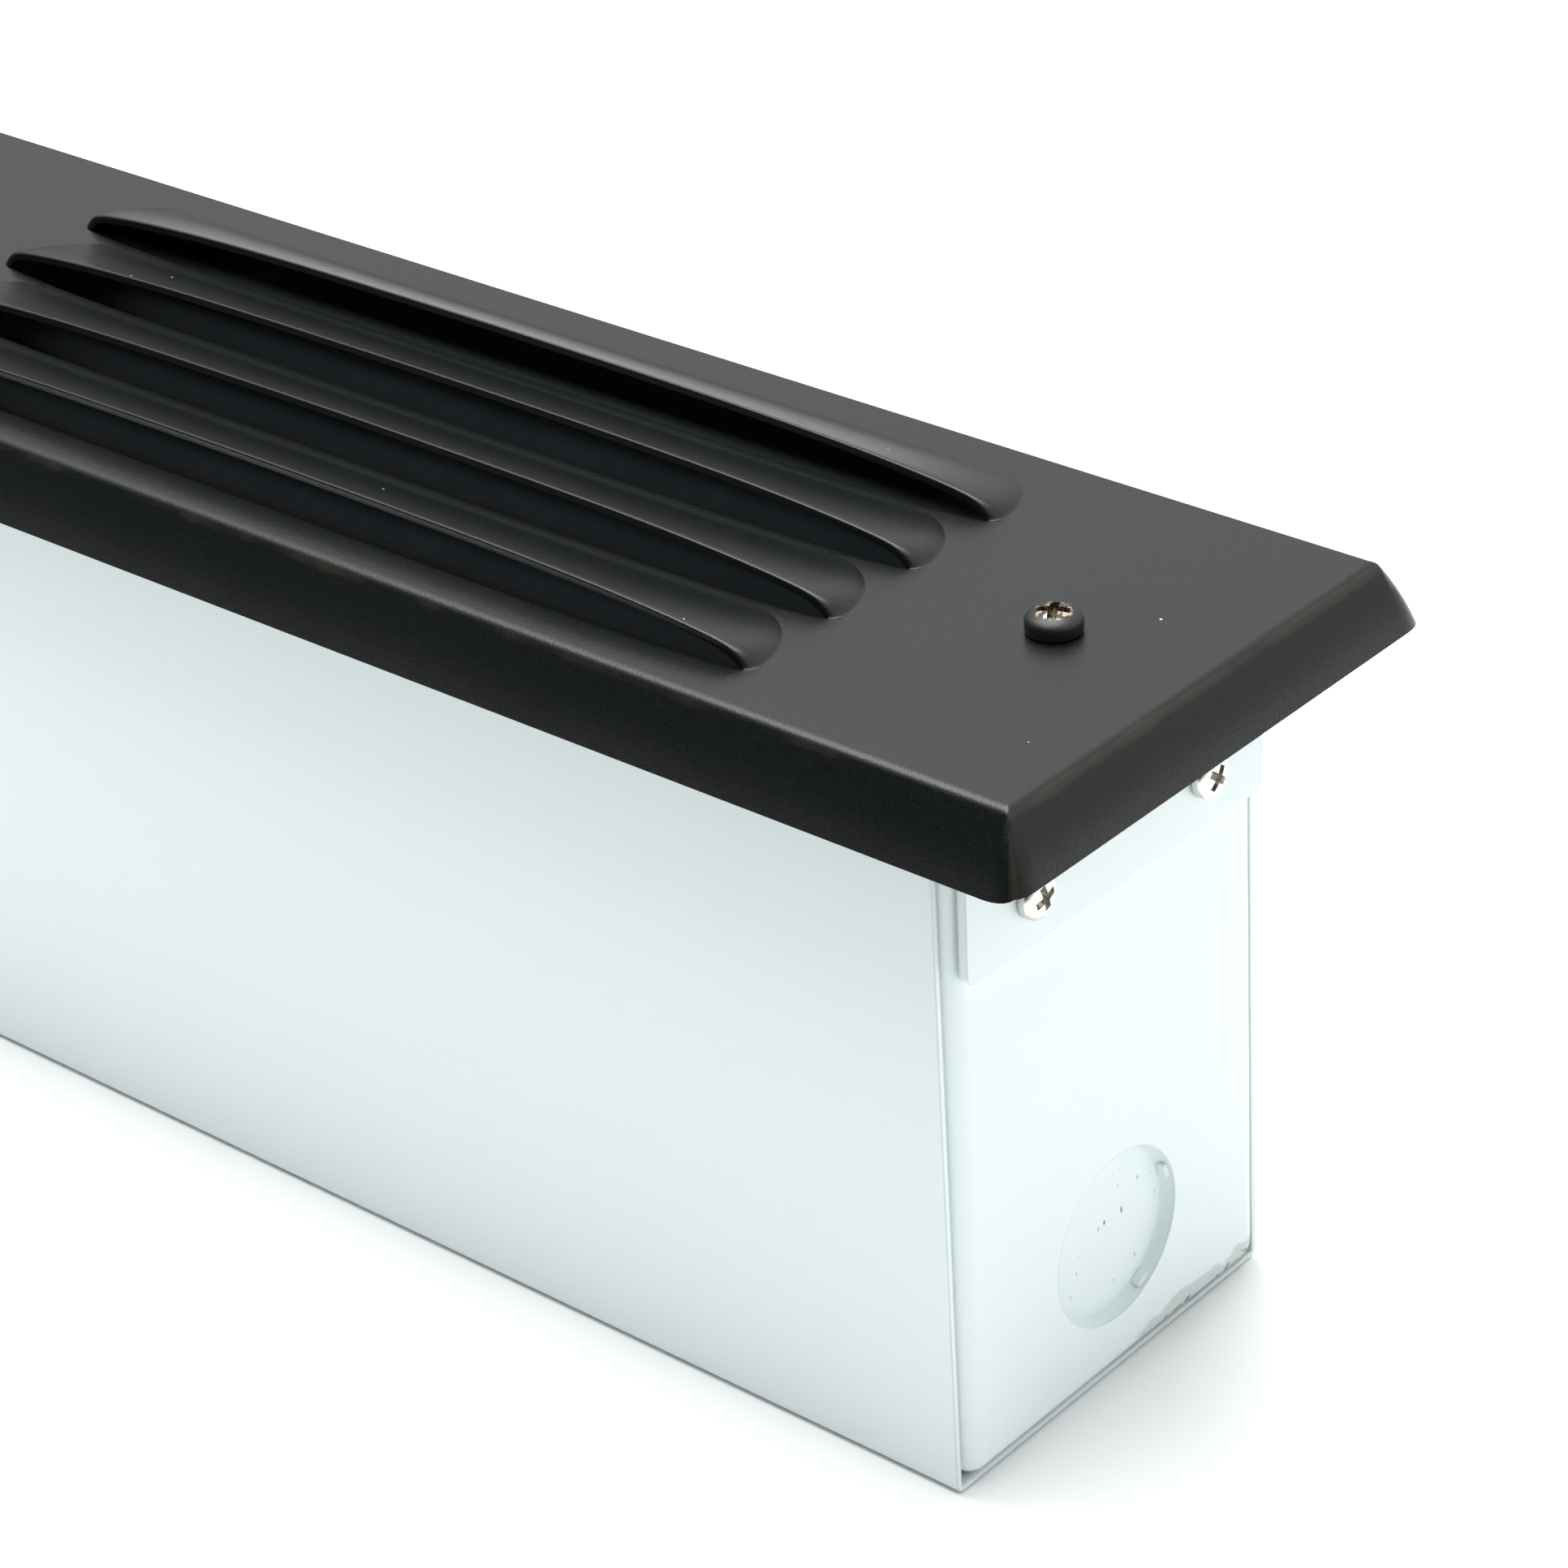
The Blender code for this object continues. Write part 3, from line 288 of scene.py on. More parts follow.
def make_finish_group():
    """Sprayed paint: a fine orange peel as a height, and a roughness that changes in soft patches."""
    tree, given, result = new_group("sprayed_paint",
                                    [("Place", "Vector", None), ("Peel Scale", "Float", 900.0),
                                     ("Patch Scale", "Float", 30.0), ("Roughness", "Float", 0.4),
                                     ("Spread", "Float", 0.1)],
                                    [("Height", "Float"), ("Roughness", "Float"), ("Patches", "Float")])
    fine = noise(tree, given["Place"], given["Peel Scale"], 2.0)
    patches = noise(tree, given["Place"], given["Patch Scale"], 4.0)
    change = math_node(tree, "MULTIPLY", math_node(tree, "SUBTRACT", patches, 0.5), given["Spread"])
    tree.links.new(fine, result["Height"])
    tree.links.new(math_node(tree, "ADD", given["Roughness"], change), result["Roughness"])
    tree.links.new(patches, result["Patches"])
    return tree


def make_wear_group():
    """Where paint has rubbed through: a mask from an edge amount broken up by noise."""
    tree, given, result = new_group("edge_wear", [("Place", "Vector", None), ("Edge", "Float", 0.0),
                                                  ("Scale", "Float", 300.0), ("Amount", "Float", 0.5)],
                                    [("Mask", "Float")])
    grain = noise(tree, given["Place"], given["Scale"], 5.0)
    reach = math_node(tree, "ADD", given["Edge"], math_node(tree, "SUBTRACT", grain, 0.5))
    level = math_node(tree, "SUBTRACT", reach, math_node(tree, "SUBTRACT", 1.0, given["Amount"]))
    tree.links.new(ramp(tree, level, 0.0, 0.35), result["Mask"])
    return tree


GROUPS = {"specks": make_specks_group(), "paint": make_finish_group(), "wear": make_wear_group()}


def use_group(tree, name, **inputs):
    node = add_node(tree, "ShaderNodeGroup", node_tree=GROUPS[name])
    for key, value in inputs.items():
        socket = node.inputs[key.replace("_", " ").title()]
        if isinstance(value, bpy.types.NodeSocket):
            tree.links.new(value, socket)
        else:
            socket.default_value = value
    return node.outputs


def new_material(name, **constants):
    """A material with its shader, its tree and Object coordinates."""
    made = bpy.data.materials.new(name)
    made.use_nodes = True
    tree = made.node_tree
    shader = tree.nodes["Principled BSDF"]
    for key, value in constants.items():
        shader.inputs[key.replace("_", " ").title().replace("Ior", "IOR")].default_value = value
    place = tree.nodes.new("ShaderNodeTexCoord").outputs["Object"]
    return made, tree, shader, place


def feed(tree, shader, **sockets):
    for key, socket in sockets.items():
        tree.links.new(socket, shader.inputs[key.replace("_", " ").title()])


def bumped(tree, shader, height, depth, strength=1.0, rounding=0.0):
    """Add a fine relief, over edges that look rounded to a small radius."""
    bump = add_node(tree, "ShaderNodeBump", {"Height": height, "Distance": depth, "Strength": strength})
    if rounding:
        edges = add_node(tree, "ShaderNodeBevel", {"Radius": rounding}, samples=6)
        tree.links.new(edges.outputs["Normal"], bump.inputs["Normal"])
    tree.links.new(bump.outputs["Normal"], shader.inputs["Normal"])


def black_paint():
    """Satin black paint, rubbed brown along the folds and dusted with a few white specks."""
    made, tree, shader, place = new_material("satin_black_paint", specular_ior_level=0.46)
    paint = use_group(tree, "paint", place=place, peel_scale=3600.0, patch_scale=25.0, roughness=0.32,
                      spread=0.1)
    fold = add_node(tree, "ShaderNodeAttribute", attribute_name="fold").outputs["Fac"]
    wear = use_group(tree, "wear", place=place, edge=fold, scale=120.0, amount=0.5)["Mask"]
    dust = use_group(tree, "specks", place=place, scale=230.0, amount=0.1, size=0.036)["Mask"]
    grain = ramp(tree, paint["Height"], 0.3, 0.7)
    tone = mix_colour(tree, grain, (0.0022, 0.0034, 0.0033, 1), (0.0066, 0.0080, 0.0078, 1))
    tone = mix_colour(tree, math_node(tree, "MULTIPLY", wear, 0.6), tone, (0.038, 0.030, 0.019, 1))
    tone = mix_colour(tree, dust, tone, (0.75, 0.75, 0.72, 1))
    feed(tree, shader, base_color=tone, roughness=paint["Roughness"])
    bumped(tree, shader, paint["Height"], 0.00003, 0.8)
    return made


def white_enamel(name="white_enamel", worn=False, painted_shade_band=False):
    """Cool white enamel with a faint orange peel and dark specks.

    A worn one is chipped and scratched, and a banded one is darkened along the top of its inner side, a
    painted shade under the louvre hoods.
    """
    made, tree, shader, place = new_material(name, specular_ior_level=0.5)
    paint = use_group(tree, "paint", place=place, peel_scale=900.0, patch_scale=14.0, roughness=0.38,
                      spread=0.1)
    dirt = use_group(tree, "specks", place=place, scale=150.0, amount=0.035, size=0.045)["Mask"]
    tone = mix_colour(tree, paint["Patches"], (0.775, 0.86, 0.868, 1), (0.80, 0.88, 0.885, 1))
    tone = mix_colour(tree, math_node(tree, "MULTIPLY", dirt, 0.75), tone, (0.17, 0.16, 0.155, 1))
    if worn:
        grey, dark = foot_chips(tree, place)
        tone = mix_colour(tree, math_node(tree, "MULTIPLY", grey, 0.8), tone, (0.56, 0.60, 0.59, 1))
        tone = mix_colour(tree, math_node(tree, "MULTIPLY", dark, 0.8), tone, (0.10, 0.09, 0.08, 1))
        tone = mix_colour(tree, slug_scratches(tree, place), tone, (0.22, 0.21, 0.20, 1))
    # Painted shade: a near-black band on the inner side of the housing, from just above the lens up to the
    # top, under the louvres.
    if painted_shade_band:
        axes = add_node(tree, "ShaderNodeSeparateXYZ", {"Vector": place}).outputs
        away = math_node(tree, "ABSOLUTE", axes["Y"])
        inner = math_node(tree, "LESS_THAN", away, CHANNEL_HIGH.y - 0.5 * MM)
        top = ramp(tree, axes["Z"], LENS_HIGH.z + 0.5 * MM, LENS_HIGH.z + 3 * MM)
        tone = mix_colour(tree, math_node(tree, "MULTIPLY", inner, top), tone, (0.012, 0.013, 0.014, 1))
    feed(tree, shader, base_color=tone, roughness=paint["Roughness"])
    bumped(tree, shader, paint["Height"], 0.00004, 0.25, 0.45 * MM)
    return made


def foot_chips(tree, place):
    """Grey rubbed paint and small dark chips along the foot of an end cap, towards its back."""
    axes = add_node(tree, "ShaderNodeSeparateXYZ", {"Vector": place}).outputs
    foot = ramp(tree, axes["Z"], 7.5 * MM, 2.6 * MM)
    back = ramp(tree, axes["Y"], -14.0 * MM, 12.0 * MM)
    near = math_node(tree, "MULTIPLY", foot, math_node(tree, "ADD", 0.3, back))
    reach = math_node(tree, "MULTIPLY", near, noise(tree, place, 240.0, 6.0))
    grey = ramp(tree, reach, 0.36, 0.46)
    dark = ramp(tree, math_node(tree, "MULTIPLY", near, noise(tree, place, 620.0, 4.0)), 0.70, 0.74)
    return grey, dark


def slug_scratches(tree, place):
    """Short slanted scratches on the knockout slugs."""
    middle = add_node(tree, "ShaderNodeVectorMath", {0: place, 1: (0.0, 1.0, 1.0)}, operation="MULTIPLY")
    away = add_node(tree, "ShaderNodeVectorMath", {0: middle.outputs[0], 1: (0.0, 0.0, KNOCKOUT_HEIGHT)},
                    operation="DISTANCE").outputs["Value"]
    inside = ramp(tree, away, 10.0 * MM, 8.5 * MM)
    lie = add_node(tree, "ShaderNodeMapping", {"Vector": place, "Rotation": (0.9, 0.0, 0.0),
                                               "Scale": (1.0, 1500.0, 380.0)})
    dashes = ramp(tree, noise(tree, lie.outputs[0], 1.0, 2.0), 0.69, 0.72)
    return math_node(tree, "MULTIPLY", inside, dashes)


def plated(name, colour, roughness, metallic=1.0):
    """Plated or bare metal with fine handling marks."""
    made, tree, shader, place = new_material(name)
    scratches = noise(tree, place, 2600.0, 6.0)
    patches = noise(tree, place, 260.0, 3.0)
    dark = tuple(0.72 * c for c in colour)
    feed(tree, shader, base_color=mix_colour(tree, patches, (*dark, 1), (*colour, 1)),
         roughness=add_node(tree, "ShaderNodeMapRange", {"Value": scratches, "To Min": roughness * 0.7,
                                                         "To Max": roughness * 1.5}).outputs["Result"])
    shader.inputs["Metallic"].default_value = metallic
    bumped(tree, shader, scratches, 0.00003, 0.4)
    return made


def worn_black_screw():
    """Black finish with its recess worn to bright and brassy metal by the driver."""
    made, tree, shader, place = new_material("black_screw_finish")
    recess = add_node(tree, "ShaderNodeAttribute", attribute_name="recess").outputs["Fac"]
    chips = ramp(tree, noise(tree, place, 1500.0, 5.0), 0.51, 0.56)
    worn = math_node(tree, "MULTIPLY", recess, chips)
    brass = mix_colour(tree, noise(tree, place, 900.0, 2.0), (0.60, 0.33, 0.14, 1), (0.88, 0.80, 0.64, 1))
    feed(tree, shader, base_color=mix_colour(tree, worn, (0.013, 0.012, 0.012, 1), brass), metallic=worn)
    feed(tree, shader, roughness=add_node(tree, "ShaderNodeMapRange", {"Value": worn, "To Min": 0.42,
                                                                       "To Max": 0.22}).outputs["Result"])
    bumped(tree, shader, noise(tree, place, 1800.0, 3.0), 0.00006, 0.5)
    return made


def moulded(name, colour, roughness=0.5, grain=1400.0, depth=0.00004, gloss=0.5):
    """Moulded plastic, rubber or board: a slight mottle and a fine surface grain."""
    made, tree, shader, place = new_material(name, specular_ior_level=gloss)
    mottle = noise(tree, place, 90.0, 4.0)
    dark = tuple(0.86 * c for c in colour)
    feed(tree, shader, base_color=mix_colour(tree, mottle, (*dark, 1), (*colour, 1)),
         roughness=add_node(tree, "ShaderNodeMapRange", {"Value": mottle, "To Min": roughness * 0.85,
                                                         "To Max": roughness * 1.15}).outputs["Result"])
    bumped(tree, shader, noise(tree, place, grain, 3.0), depth, 0.5)
    return made


MATERIALS = {
    "cover_black": black_paint(),
    "housing_white": white_enamel(painted_shade_band=True),
    "end_white": white_enamel("worn_white_enamel", worn=True),
    "bracket_white": white_enamel("bracket_enamel"),
    "screw_black": worn_black_screw(),
    "screw_zinc": plated("bright_zinc", (0.80, 0.775, 0.72), 0.24),
    "tray_white": moulded("reflector_white", (0.84, 0.85, 0.84), 0.35, 500.0),
    # The lens colour is near black: painted shade for the dark inside of the housing under the louvres.
    "lens_frost": moulded("shade_darkened_lens", (0.020, 0.025, 0.029), 0.5, 2400.0, 0.00002, 0.4),
    "gasket_rubber": moulded("black_rubber", (0.02, 0.02, 0.02), 0.8),
    "clip_steel": plated("spring_steel", (0.55, 0.56, 0.57), 0.3),
    "board_white": moulded("white_solder_mask", (0.80, 0.81, 0.79), 0.4, 300.0),
    "led_yellow": moulded("phosphor", (0.80, 0.62, 0.12), 0.35),
    "terminal_white": moulded("terminal_nylon", (0.80, 0.78, 0.70), 0.45),
    "driver_case": moulded("driver_plastic", (0.70, 0.71, 0.71), 0.5, 800.0, 0.0001),
    "driver_board": moulded("green_solder_mask", (0.02, 0.14, 0.06), 0.4, 300.0),
    "lead_black": moulded("black_insulation", (0.015, 0.015, 0.015), 0.4),
    "lead_white": moulded("white_insulation", (0.78, 0.78, 0.75), 0.4),
    "lead_green": moulded("green_insulation", (0.02, 0.20, 0.05), 0.4),
    "lead_red": moulded("red_insulation", (0.45, 0.02, 0.02), 0.4),
    "nut_orange": moulded("orange_nylon", (0.80, 0.22, 0.02), 0.45),
    "earth_green": plated("green_dyed_zinc", (0.05, 0.34, 0.12), 0.35, 0.7),
    "ring_copper": plated("tinned_copper", (0.75, 0.50, 0.30), 0.3),
}


def hand_over(piece, body, slot, *nodes, look=None):
    """Give a piece its material, its body and the CAD nodes that it stands for."""
    if look or not piece.data.materials:
        piece.data.materials.clear()
        piece.data.materials.append(MATERIALS[look or slot])
    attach(piece, body)
    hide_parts(*nodes)


# --- cover -------------------------------------------------------------------------------------

def lip_height(inside):
    """How high a louvre's front lip stands at a distance inside the slit's tip."""
    eased = inside * inside / (inside + LIP_EASE)
    return NOSE_RISE * (1 - math.exp(-eased / NOSE_RUN)) + CROWN_RISE * (1 - math.exp(-eased / CROWN_RUN))


def hood_section(share):
    """The hood's height behind the lip, as a share of the lip's: a straight slope eased into the flat."""
    left = max(0.0, 1 - share)
    return (1 + HOOD_EASE) * left * left / (left + HOOD_EASE)


def rounded_edge(distance, radius):
    """How far a rolled edge falls away at a distance behind it."""
    if distance >= radius:
        return 0.0
    return radius - math.sqrt(max(0.0, radius * radius - (radius - distance) ** 2))


def louvre_shift(inside, behind, reach):
    """How far the hood's end bulges outwards past its place on the lip, by the distance behind the slit."""
    across = min(1.0, abs(behind - END_MIDDLE) / (reach - END_MIDDLE))
    bulge = END_LENGTH * (math.sqrt(1 - across * across) - 1) + END_BULGE
    hook = END_BULGE * max(0.0, 1 - behind / END_MIDDLE) ** 2
    return (bulge - hook) * math.exp(-inside / END_FADE)


def louvre_point(x, share, depth):
    """Where a point of the hood stands: along the slit, behind it, and above the flat."""
    inside = max(0.0, LOUVRE_HALF - abs(x))
    reach = HOOD_DEPTH + HOOD_END_DEPTH * math.exp(-inside / END_FADE)
    behind = share * reach
    if abs(x) > LOUVRE_HALF + 2 * TIP_GUARD:
        return x, behind, 0.0
    height = lip_height(inside)
    rise = height * hood_section(share)
    if depth == 0:
        rise -= rounded_edge(behind, min(LIP_ROLL, 0.4 * height))
    return x + math.copysign(1, x) * louvre_shift(inside, behind, reach), behind, rise


def slit_bow(x):
    """How far the slit's front edge stands forward of the lip."""
    return LOUVRE_BOW * (1 - math.exp(-max(0.0, LOUVRE_HALF - abs(x)) / BOW_RUN))


def flange_point(share, depth):
    """Offset outwards and drop along the fold and the crowned flange, at a depth inside the sheet."""
    run = share * (FOLD_ARC + FLANGE_RUN)
    turn = min(run / FOLD_RADIUS, COVER_SLOPE)
    rest = max(0.0, run - FOLD_ARC)
    radius = FOLD_RADIUS - depth
    crown = FLANGE_CROWN * math.sin(math.pi * rest / FLANGE_RUN)
    along_flange, across_flange = math.cos(COVER_SLOPE), math.sin(COVER_SLOPE)
    return (radius * math.sin(turn) + rest * along_flange + crown * across_flange,
            FOLD_RADIUS - radius * math.cos(turn) + rest * across_flange - crown * along_flange)


def cover_point(place, shares, flat, depth):
    """A point of the cover, on the flat or on the flange around it, at a depth inside the sheet."""
    share = max(shares)
    if share == 0:
        return (place[0], place[1], COVER_TOP + place[2] - depth)
    out, drop = flange_point(share, depth)
    ways = [value / share for value in shares]
    size = sum(way ** CORNER_POWER for way in ways) ** (1 / CORNER_POWER)
    spot = [math.copysign(flat[i] + out * ways[i] / size, place[i]) if shares[i] else place[i]
            for i in (0, 1)]
    return (*spot, COVER_TOP - drop + END_TRIM * share * ways[0] ** 2)


def flange_shares():
    """The steps over the fold and down the flange, as shares of the whole way."""
    fold = FOLD_ARC / (FOLD_ARC + FLANGE_RUN)
    return ([fold * (i + 1) / FOLD_STEPS for i in range(FOLD_STEPS)]
            + [fold + (1 - fold) * (i + 1) / FLANGE_STEPS for i in range(FLANGE_STEPS)])


def cover_rows(flat_y, shares):
    """Rows across the cover: distance from its middle, flange share, kind and the value of the kind."""
    slits = [LOUVRE_BACK_ROW - LOUVRE_PITCH * i for i in reversed(range(LOUVRE_ROWS))]
    rolls = [LIP_ROLL * (1 - math.cos(math.pi / 2 * i / ROLL_STEPS)) for i in range(ROLL_STEPS)]
    rows = [(-flat_y, share, "flat", 0) for share in reversed(shares)] + [(-flat_y, 0.0, "flat", 0)]
    for slit in slits:
        rows += [(slit, 0.0, "edge", roll) for roll in [LIP_ROLL] + rolls[::-1]]
        first = LIP_ROLL / HOOD_DEPTH
        hood = [roll / HOOD_DEPTH for roll in rolls]
        hood += [first + (1 - first) * i / HOOD_STEPS for i in range(HOOD_STEPS + 1)]
        hood += [1 + TIP_GUARD / HOOD_DEPTH]
        rows += [(slit, 0.0, "hood", share) for share in hood]
    return rows + [(flat_y, 0.0, "flat", 0)] + [(flat_y, share, "flat", 0) for share in shares]


def cover_columns(flat_x, shares):
    """Columns along the cover, drawn together towards the tips of the slits."""
    inner = [LOUVRE_HALF * (1 - (1 - i / LIP_STEPS) ** 2) for i in range(LIP_STEPS + 1)]
    outer = [(x, 0.0) for x in inner[1:]]
    outer += [(LOUVRE_HALF + TIP_GUARD, 0.0)]
    outer += [(LOUVRE_HALF + step * MM, 0.0) for step in BEYOND_TIPS]
    outer += [(flat_x, 0.0)] + [(flat_x, share) for share in shares]
    return [(-x, share) for x, share in reversed(outer)] + [(0.0, 0.0)] + outer


def cover_layer(bm, rows, columns, flat, depth):
    """One face of the sheet as a grid of points; a slit's two edges meet at its tips."""
    fold = bm.verts.layers.float["fold"]
    grid = []
    for y, share_y, kind, value in rows:
        line = []
        for x, share_x in columns:
            if kind == "hood" and value == 0 and abs(x) > LOUVRE_HALF - 0.01 * MM:
                line.append(grid[-1][len(line)])
                continue
            place = (x, y, 0.0)
            if kind == "edge":
                roll = min(LIP_ROLL, 0.4 * lip_height(max(0.0, LOUVRE_HALF - abs(x))))
                sink = rounded_edge(value, roll) if depth == 0 else 0.0
                place = (x, y - slit_bow(x) - value, -sink)
            elif kind == "hood":
                shifted, behind, rise = louvre_point(x, value, depth)
                place = (x if share_x else shifted, y + behind, rise)
            vert = bm.verts.new(cover_point(place, (share_x, share_y), flat, depth))
            vert[fold] = fold_amount(share_x, share_y)
            line.append(vert)
        grid.append(line)
    return grid


def fold_amount(share_x, share_y):
    """1 on the fold, and on the corner between two flanges; it fades out across the bend."""
    share = max(share_x, share_y)
    on_fold = math.exp(-((share - WEAR_MIDDLE) / WEAR_SPREAD) ** 2)
    corner = min(share_x, share_y) / share if share else 0.0
    return max(on_fold * (0.85 if share_x > share_y else 0.62), 0.8 * corner ** 3)


def make_cover():
    """The drawn sheet with its open louvres, as one closed shell."""
    reach = FOLD_RADIUS * math.tan(COVER_SLOPE / 2)
    flat = (COVER_HIGH.x - COVER_FLARE - reach, COVER_HIGH.y - COVER_FLARE - reach)
    shares = flange_shares()
    rows, columns = cover_rows(flat[1], shares), cover_columns(flat[0], shares)
    bm = bmesh.new()
    bm.verts.layers.float.new("fold")
    outer = cover_layer(bm, rows, columns, flat, 0.0)
    inner = cover_layer(bm, rows, columns, flat, COVER_SHEET)

    def face(*corners):
        corners = list(dict.fromkeys(corners))
        if len(corners) > 2:
            bm.faces.new(corners)

    last_row, last_column = len(rows) - 1, len(columns) - 1
    for r in range(last_row):
        slit = rows[r][2] == "edge" and rows[r + 1][2] == "hood"
        for c in range(last_column):
            if slit:
                if outer[r][c] != outer[r + 1][c] or outer[r][c + 1] != outer[r + 1][c + 1]:
                    for row in (r, r + 1):
                        face(outer[row][c], outer[row][c + 1], inner[row][c + 1], inner[row][c])
                continue
            face(outer[r][c], outer[r][c + 1], outer[r + 1][c + 1], outer[r + 1][c])
            face(inner[r][c], inner[r + 1][c], inner[r + 1][c + 1], inner[r][c + 1])
    for c in range(last_column):
        for row in (0, last_row):
            face(outer[row][c], outer[row][c + 1], inner[row][c + 1], inner[row][c])
    for r in range(last_row):
        for column in (0, last_column):
            face(outer[r][column], outer[r + 1][column], inner[r + 1][column], inner[r][column])
    cover = add_piece("black_louvre_cover", bm, 50)
    holes = [rod(COVER_HOLE, COVER_TOP - 4 * MM, COVER_TOP + 2 * MM, (side * COVER_SCREW_X, 0, 0))
             for side in (-1, 1)]
    combine(cover, holes)
    cover.data.set_sharp_from_angle(angle=math.radians(50))
    hand_over(cover, "cover", "cover_black", "louvre_cover")


# --- end caps ----------------------------------------------------------------------------------

def make_end_cap(side):
    """A pressed pan with three flanges, and a knockout slug held by two ties."""
    low, high = Vector((CAP_ROOT, CAP_LOW.y, CAP_LOW.z)), CAP_HIGH

    def bent(edge):
        spot = middle_of(edge)
        upright = along(edge, 2) and spot.x > CAP_ROOT + MM
        foot = along(edge, 1) and spot.x > CAP_ROOT + MM and spot.z < high.z / 2
        return upright or foot or (along(edge, 0) and spot.z < high.z / 2)

    cap = box(f"fine_end_cap_{side}", low, high, CAP_BEND, 10, bent)
    room_low = low + Vector((-CAP_SHEET, CAP_SHEET, CAP_SHEET))
    room_high = high + Vector((-CAP_SHEET, -CAP_SHEET, CAP_SHEET))
    combine(cap, [box("hollow", room_low, room_high, CAP_BEND - CAP_SHEET, 10, bent)])
    for sign in (-1, 1):
        corner = Vector((high.x - RELIEF[0], sign * (high.y - RELIEF[1] / 2), low.z + RELIEF[2] / 2))
        reach = Vector((RELIEF[0] / 2, RELIEF[1], RELIEF[2]))
        combine(cap, [box("notch", corner - reach, corner + reach)])
    cut = (high.x - CUT_INSIDE, high.x + CUT_OUTSIDE)
    for y in (-BRACKET_SCREW_OFFSET, BRACKET_SCREW_OFFSET):
        combine(cap, [rod(BRACKET_SCREW_HOLE, *cut, (0, y, BRACKET_SCREW_HEIGHT), "X")])
    spot = (0, 0, KNOCKOUT_HEIGHT)
    combine(cap, [rod(KNOCKOUT_RADIUS, *cut, spot, "X", 96)])
    combine(cap, [knockout_slug(high.x, spot)], "UNION")
    cap.data.shade_smooth()
    cap.data.set_sharp_from_angle(angle=math.radians(32))
    if side == "left":
        cap.data.transform(Matrix.Rotation(math.pi, 4, "Z"))
    hand_over(cap, "housing", "housing_white", f"end_cap_{side}", look="end_white")


def knockout_slug(outside, spot):
    """The sunk disc with its drawn rim and its two ties, as one solid."""
    face, lip = outside - KNOCKOUT_SINK, outside - CAP_SHEET * 0.4
    disc = [(0, face - CAP_SHEET), (KNOCKOUT_RADIUS + KNOCKOUT_RIM, face - CAP_SHEET),
            (KNOCKOUT_RADIUS + KNOCKOUT_RIM, lip), (KNOCKOUT_RADIUS, lip),
            (KNOCKOUT_RADIUS - 0.1 * MM, face + 0.6 * MM), (KNOCKOUT_RADIUS - 0.6 * MM, face), (0, face)]
    slug = turned("slug", disc, spot, 96, "X")
    for degrees in TIE_ANGLES:
        low = (face - CAP_SHEET * 0.5, KNOCKOUT_RADIUS - TIE_REACH, -TIE_WIDTH / 2)
        high = (outside - CAP_SHEET * 0.55, KNOCKOUT_RADIUS + KNOCKOUT_RIM / 2, TIE_WIDTH / 2)
        tie = box("tie", low, high, 0.25 * MM, 3)
        tie.data.transform(Matrix.Translation(spot) @ Matrix.Rotation(math.radians(degrees), 4, "X"))
        combine(slug, [tie], "UNION")
    return slug


# --- screws ------------------------------------------------------------------------------------

def cross_cutter(head, rise, place, axis):
    """A tapered cross that cuts a driver recess into a screw's head."""
    bm = bmesh.new()
    rings = []
    for scale, height in ((0.32, 0.18), (0.54, 0.52), (0.66, 1.25)):
        reach, half = head * scale * 0.92, head * 0.17 * (0.45 + 0.55 * scale / 0.66)
        ring = []
        for quarter in range(4):
            turn = Matrix.Rotation(quarter * math.pi / 2, 3, "Z")
            for x, y in ((reach, -half), (reach, half), (half, half)):
                ring.append(bm.verts.new(turn @ Vector((x, y, 0)) + Vector((0, 0, height * rise))))
        rings.append(ring)
    count = len(rings[0])
    for low, high in zip(rings, rings[1:]):
        for i in range(count):
            j = (i + 1) % count
            bm.faces.new((low[i], low[j], high[j], high[i]))
    bm.faces.new(rings[0][::-1])
    bm.faces.new(rings[-1])
    bmesh.ops.transform(bm, matrix=Matrix.Translation(place) @ AXIS_TURNS[axis], verts=bm.verts)
    return add_piece("cross", bm)


def make_screw(node, name, body, slot, size, axis, turn=0.0):
    """A pan head screw in the place of its CAD node, with a tapered recess and a thread."""
    head, rise = size
    low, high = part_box(node)
    middle = (low + high) / 2
    place = middle.copy()
    index = "XYZ".index(axis[-1])
    sign = -1 if axis[0] == "-" else 1
    length = high[index] - low[index] - rise
    place[index] = (low[index] + length) if sign > 0 else (high[index] - length)
    shank = SHANKS.get(node.rsplit("_", 1)[0], SHANKS[slot])
    turns = [(shank, -0.4 * MM)]
    height = -1.0 * MM
    while height > -length + 1.6 * shank:
        turns += [(shank - THREAD_DEPTH, height), (shank, height - 0.5 * THREAD_PITCH)]
        height -= THREAD_PITCH
    shaft = [(0, -length), (shank * 0.4, -length)] + turns[::-1] + [(shank, 0)]
    dome = [(head * 0.97, 0.0), (head, 0.08 * rise), (head, rise * 0.46)]
    dome += [(head * math.cos(a), rise * (0.46 + 0.54 * math.sin(a)))
             for a in (0.2, 0.4, 0.6, 0.8, 1.0, 1.2, 1.4)]
    screw = turned(name, shaft + dome + [(0, rise)], place, 48, axis)
    cutter = cross_cutter(head, rise, place, axis)
    if turn:
        cutter.data.transform(Matrix.Translation(place) @ Matrix.Rotation(turn, 4, axis[-1])
                              @ Matrix.Translation(-place))
    combine(screw, [cutter])
    screw.data.shade_smooth()
    screw.data.set_sharp_from_angle(angle=math.radians(35))
    mark_recess(screw.data, place, index, sign, head, rise)
    hand_over(screw, body, slot, node)


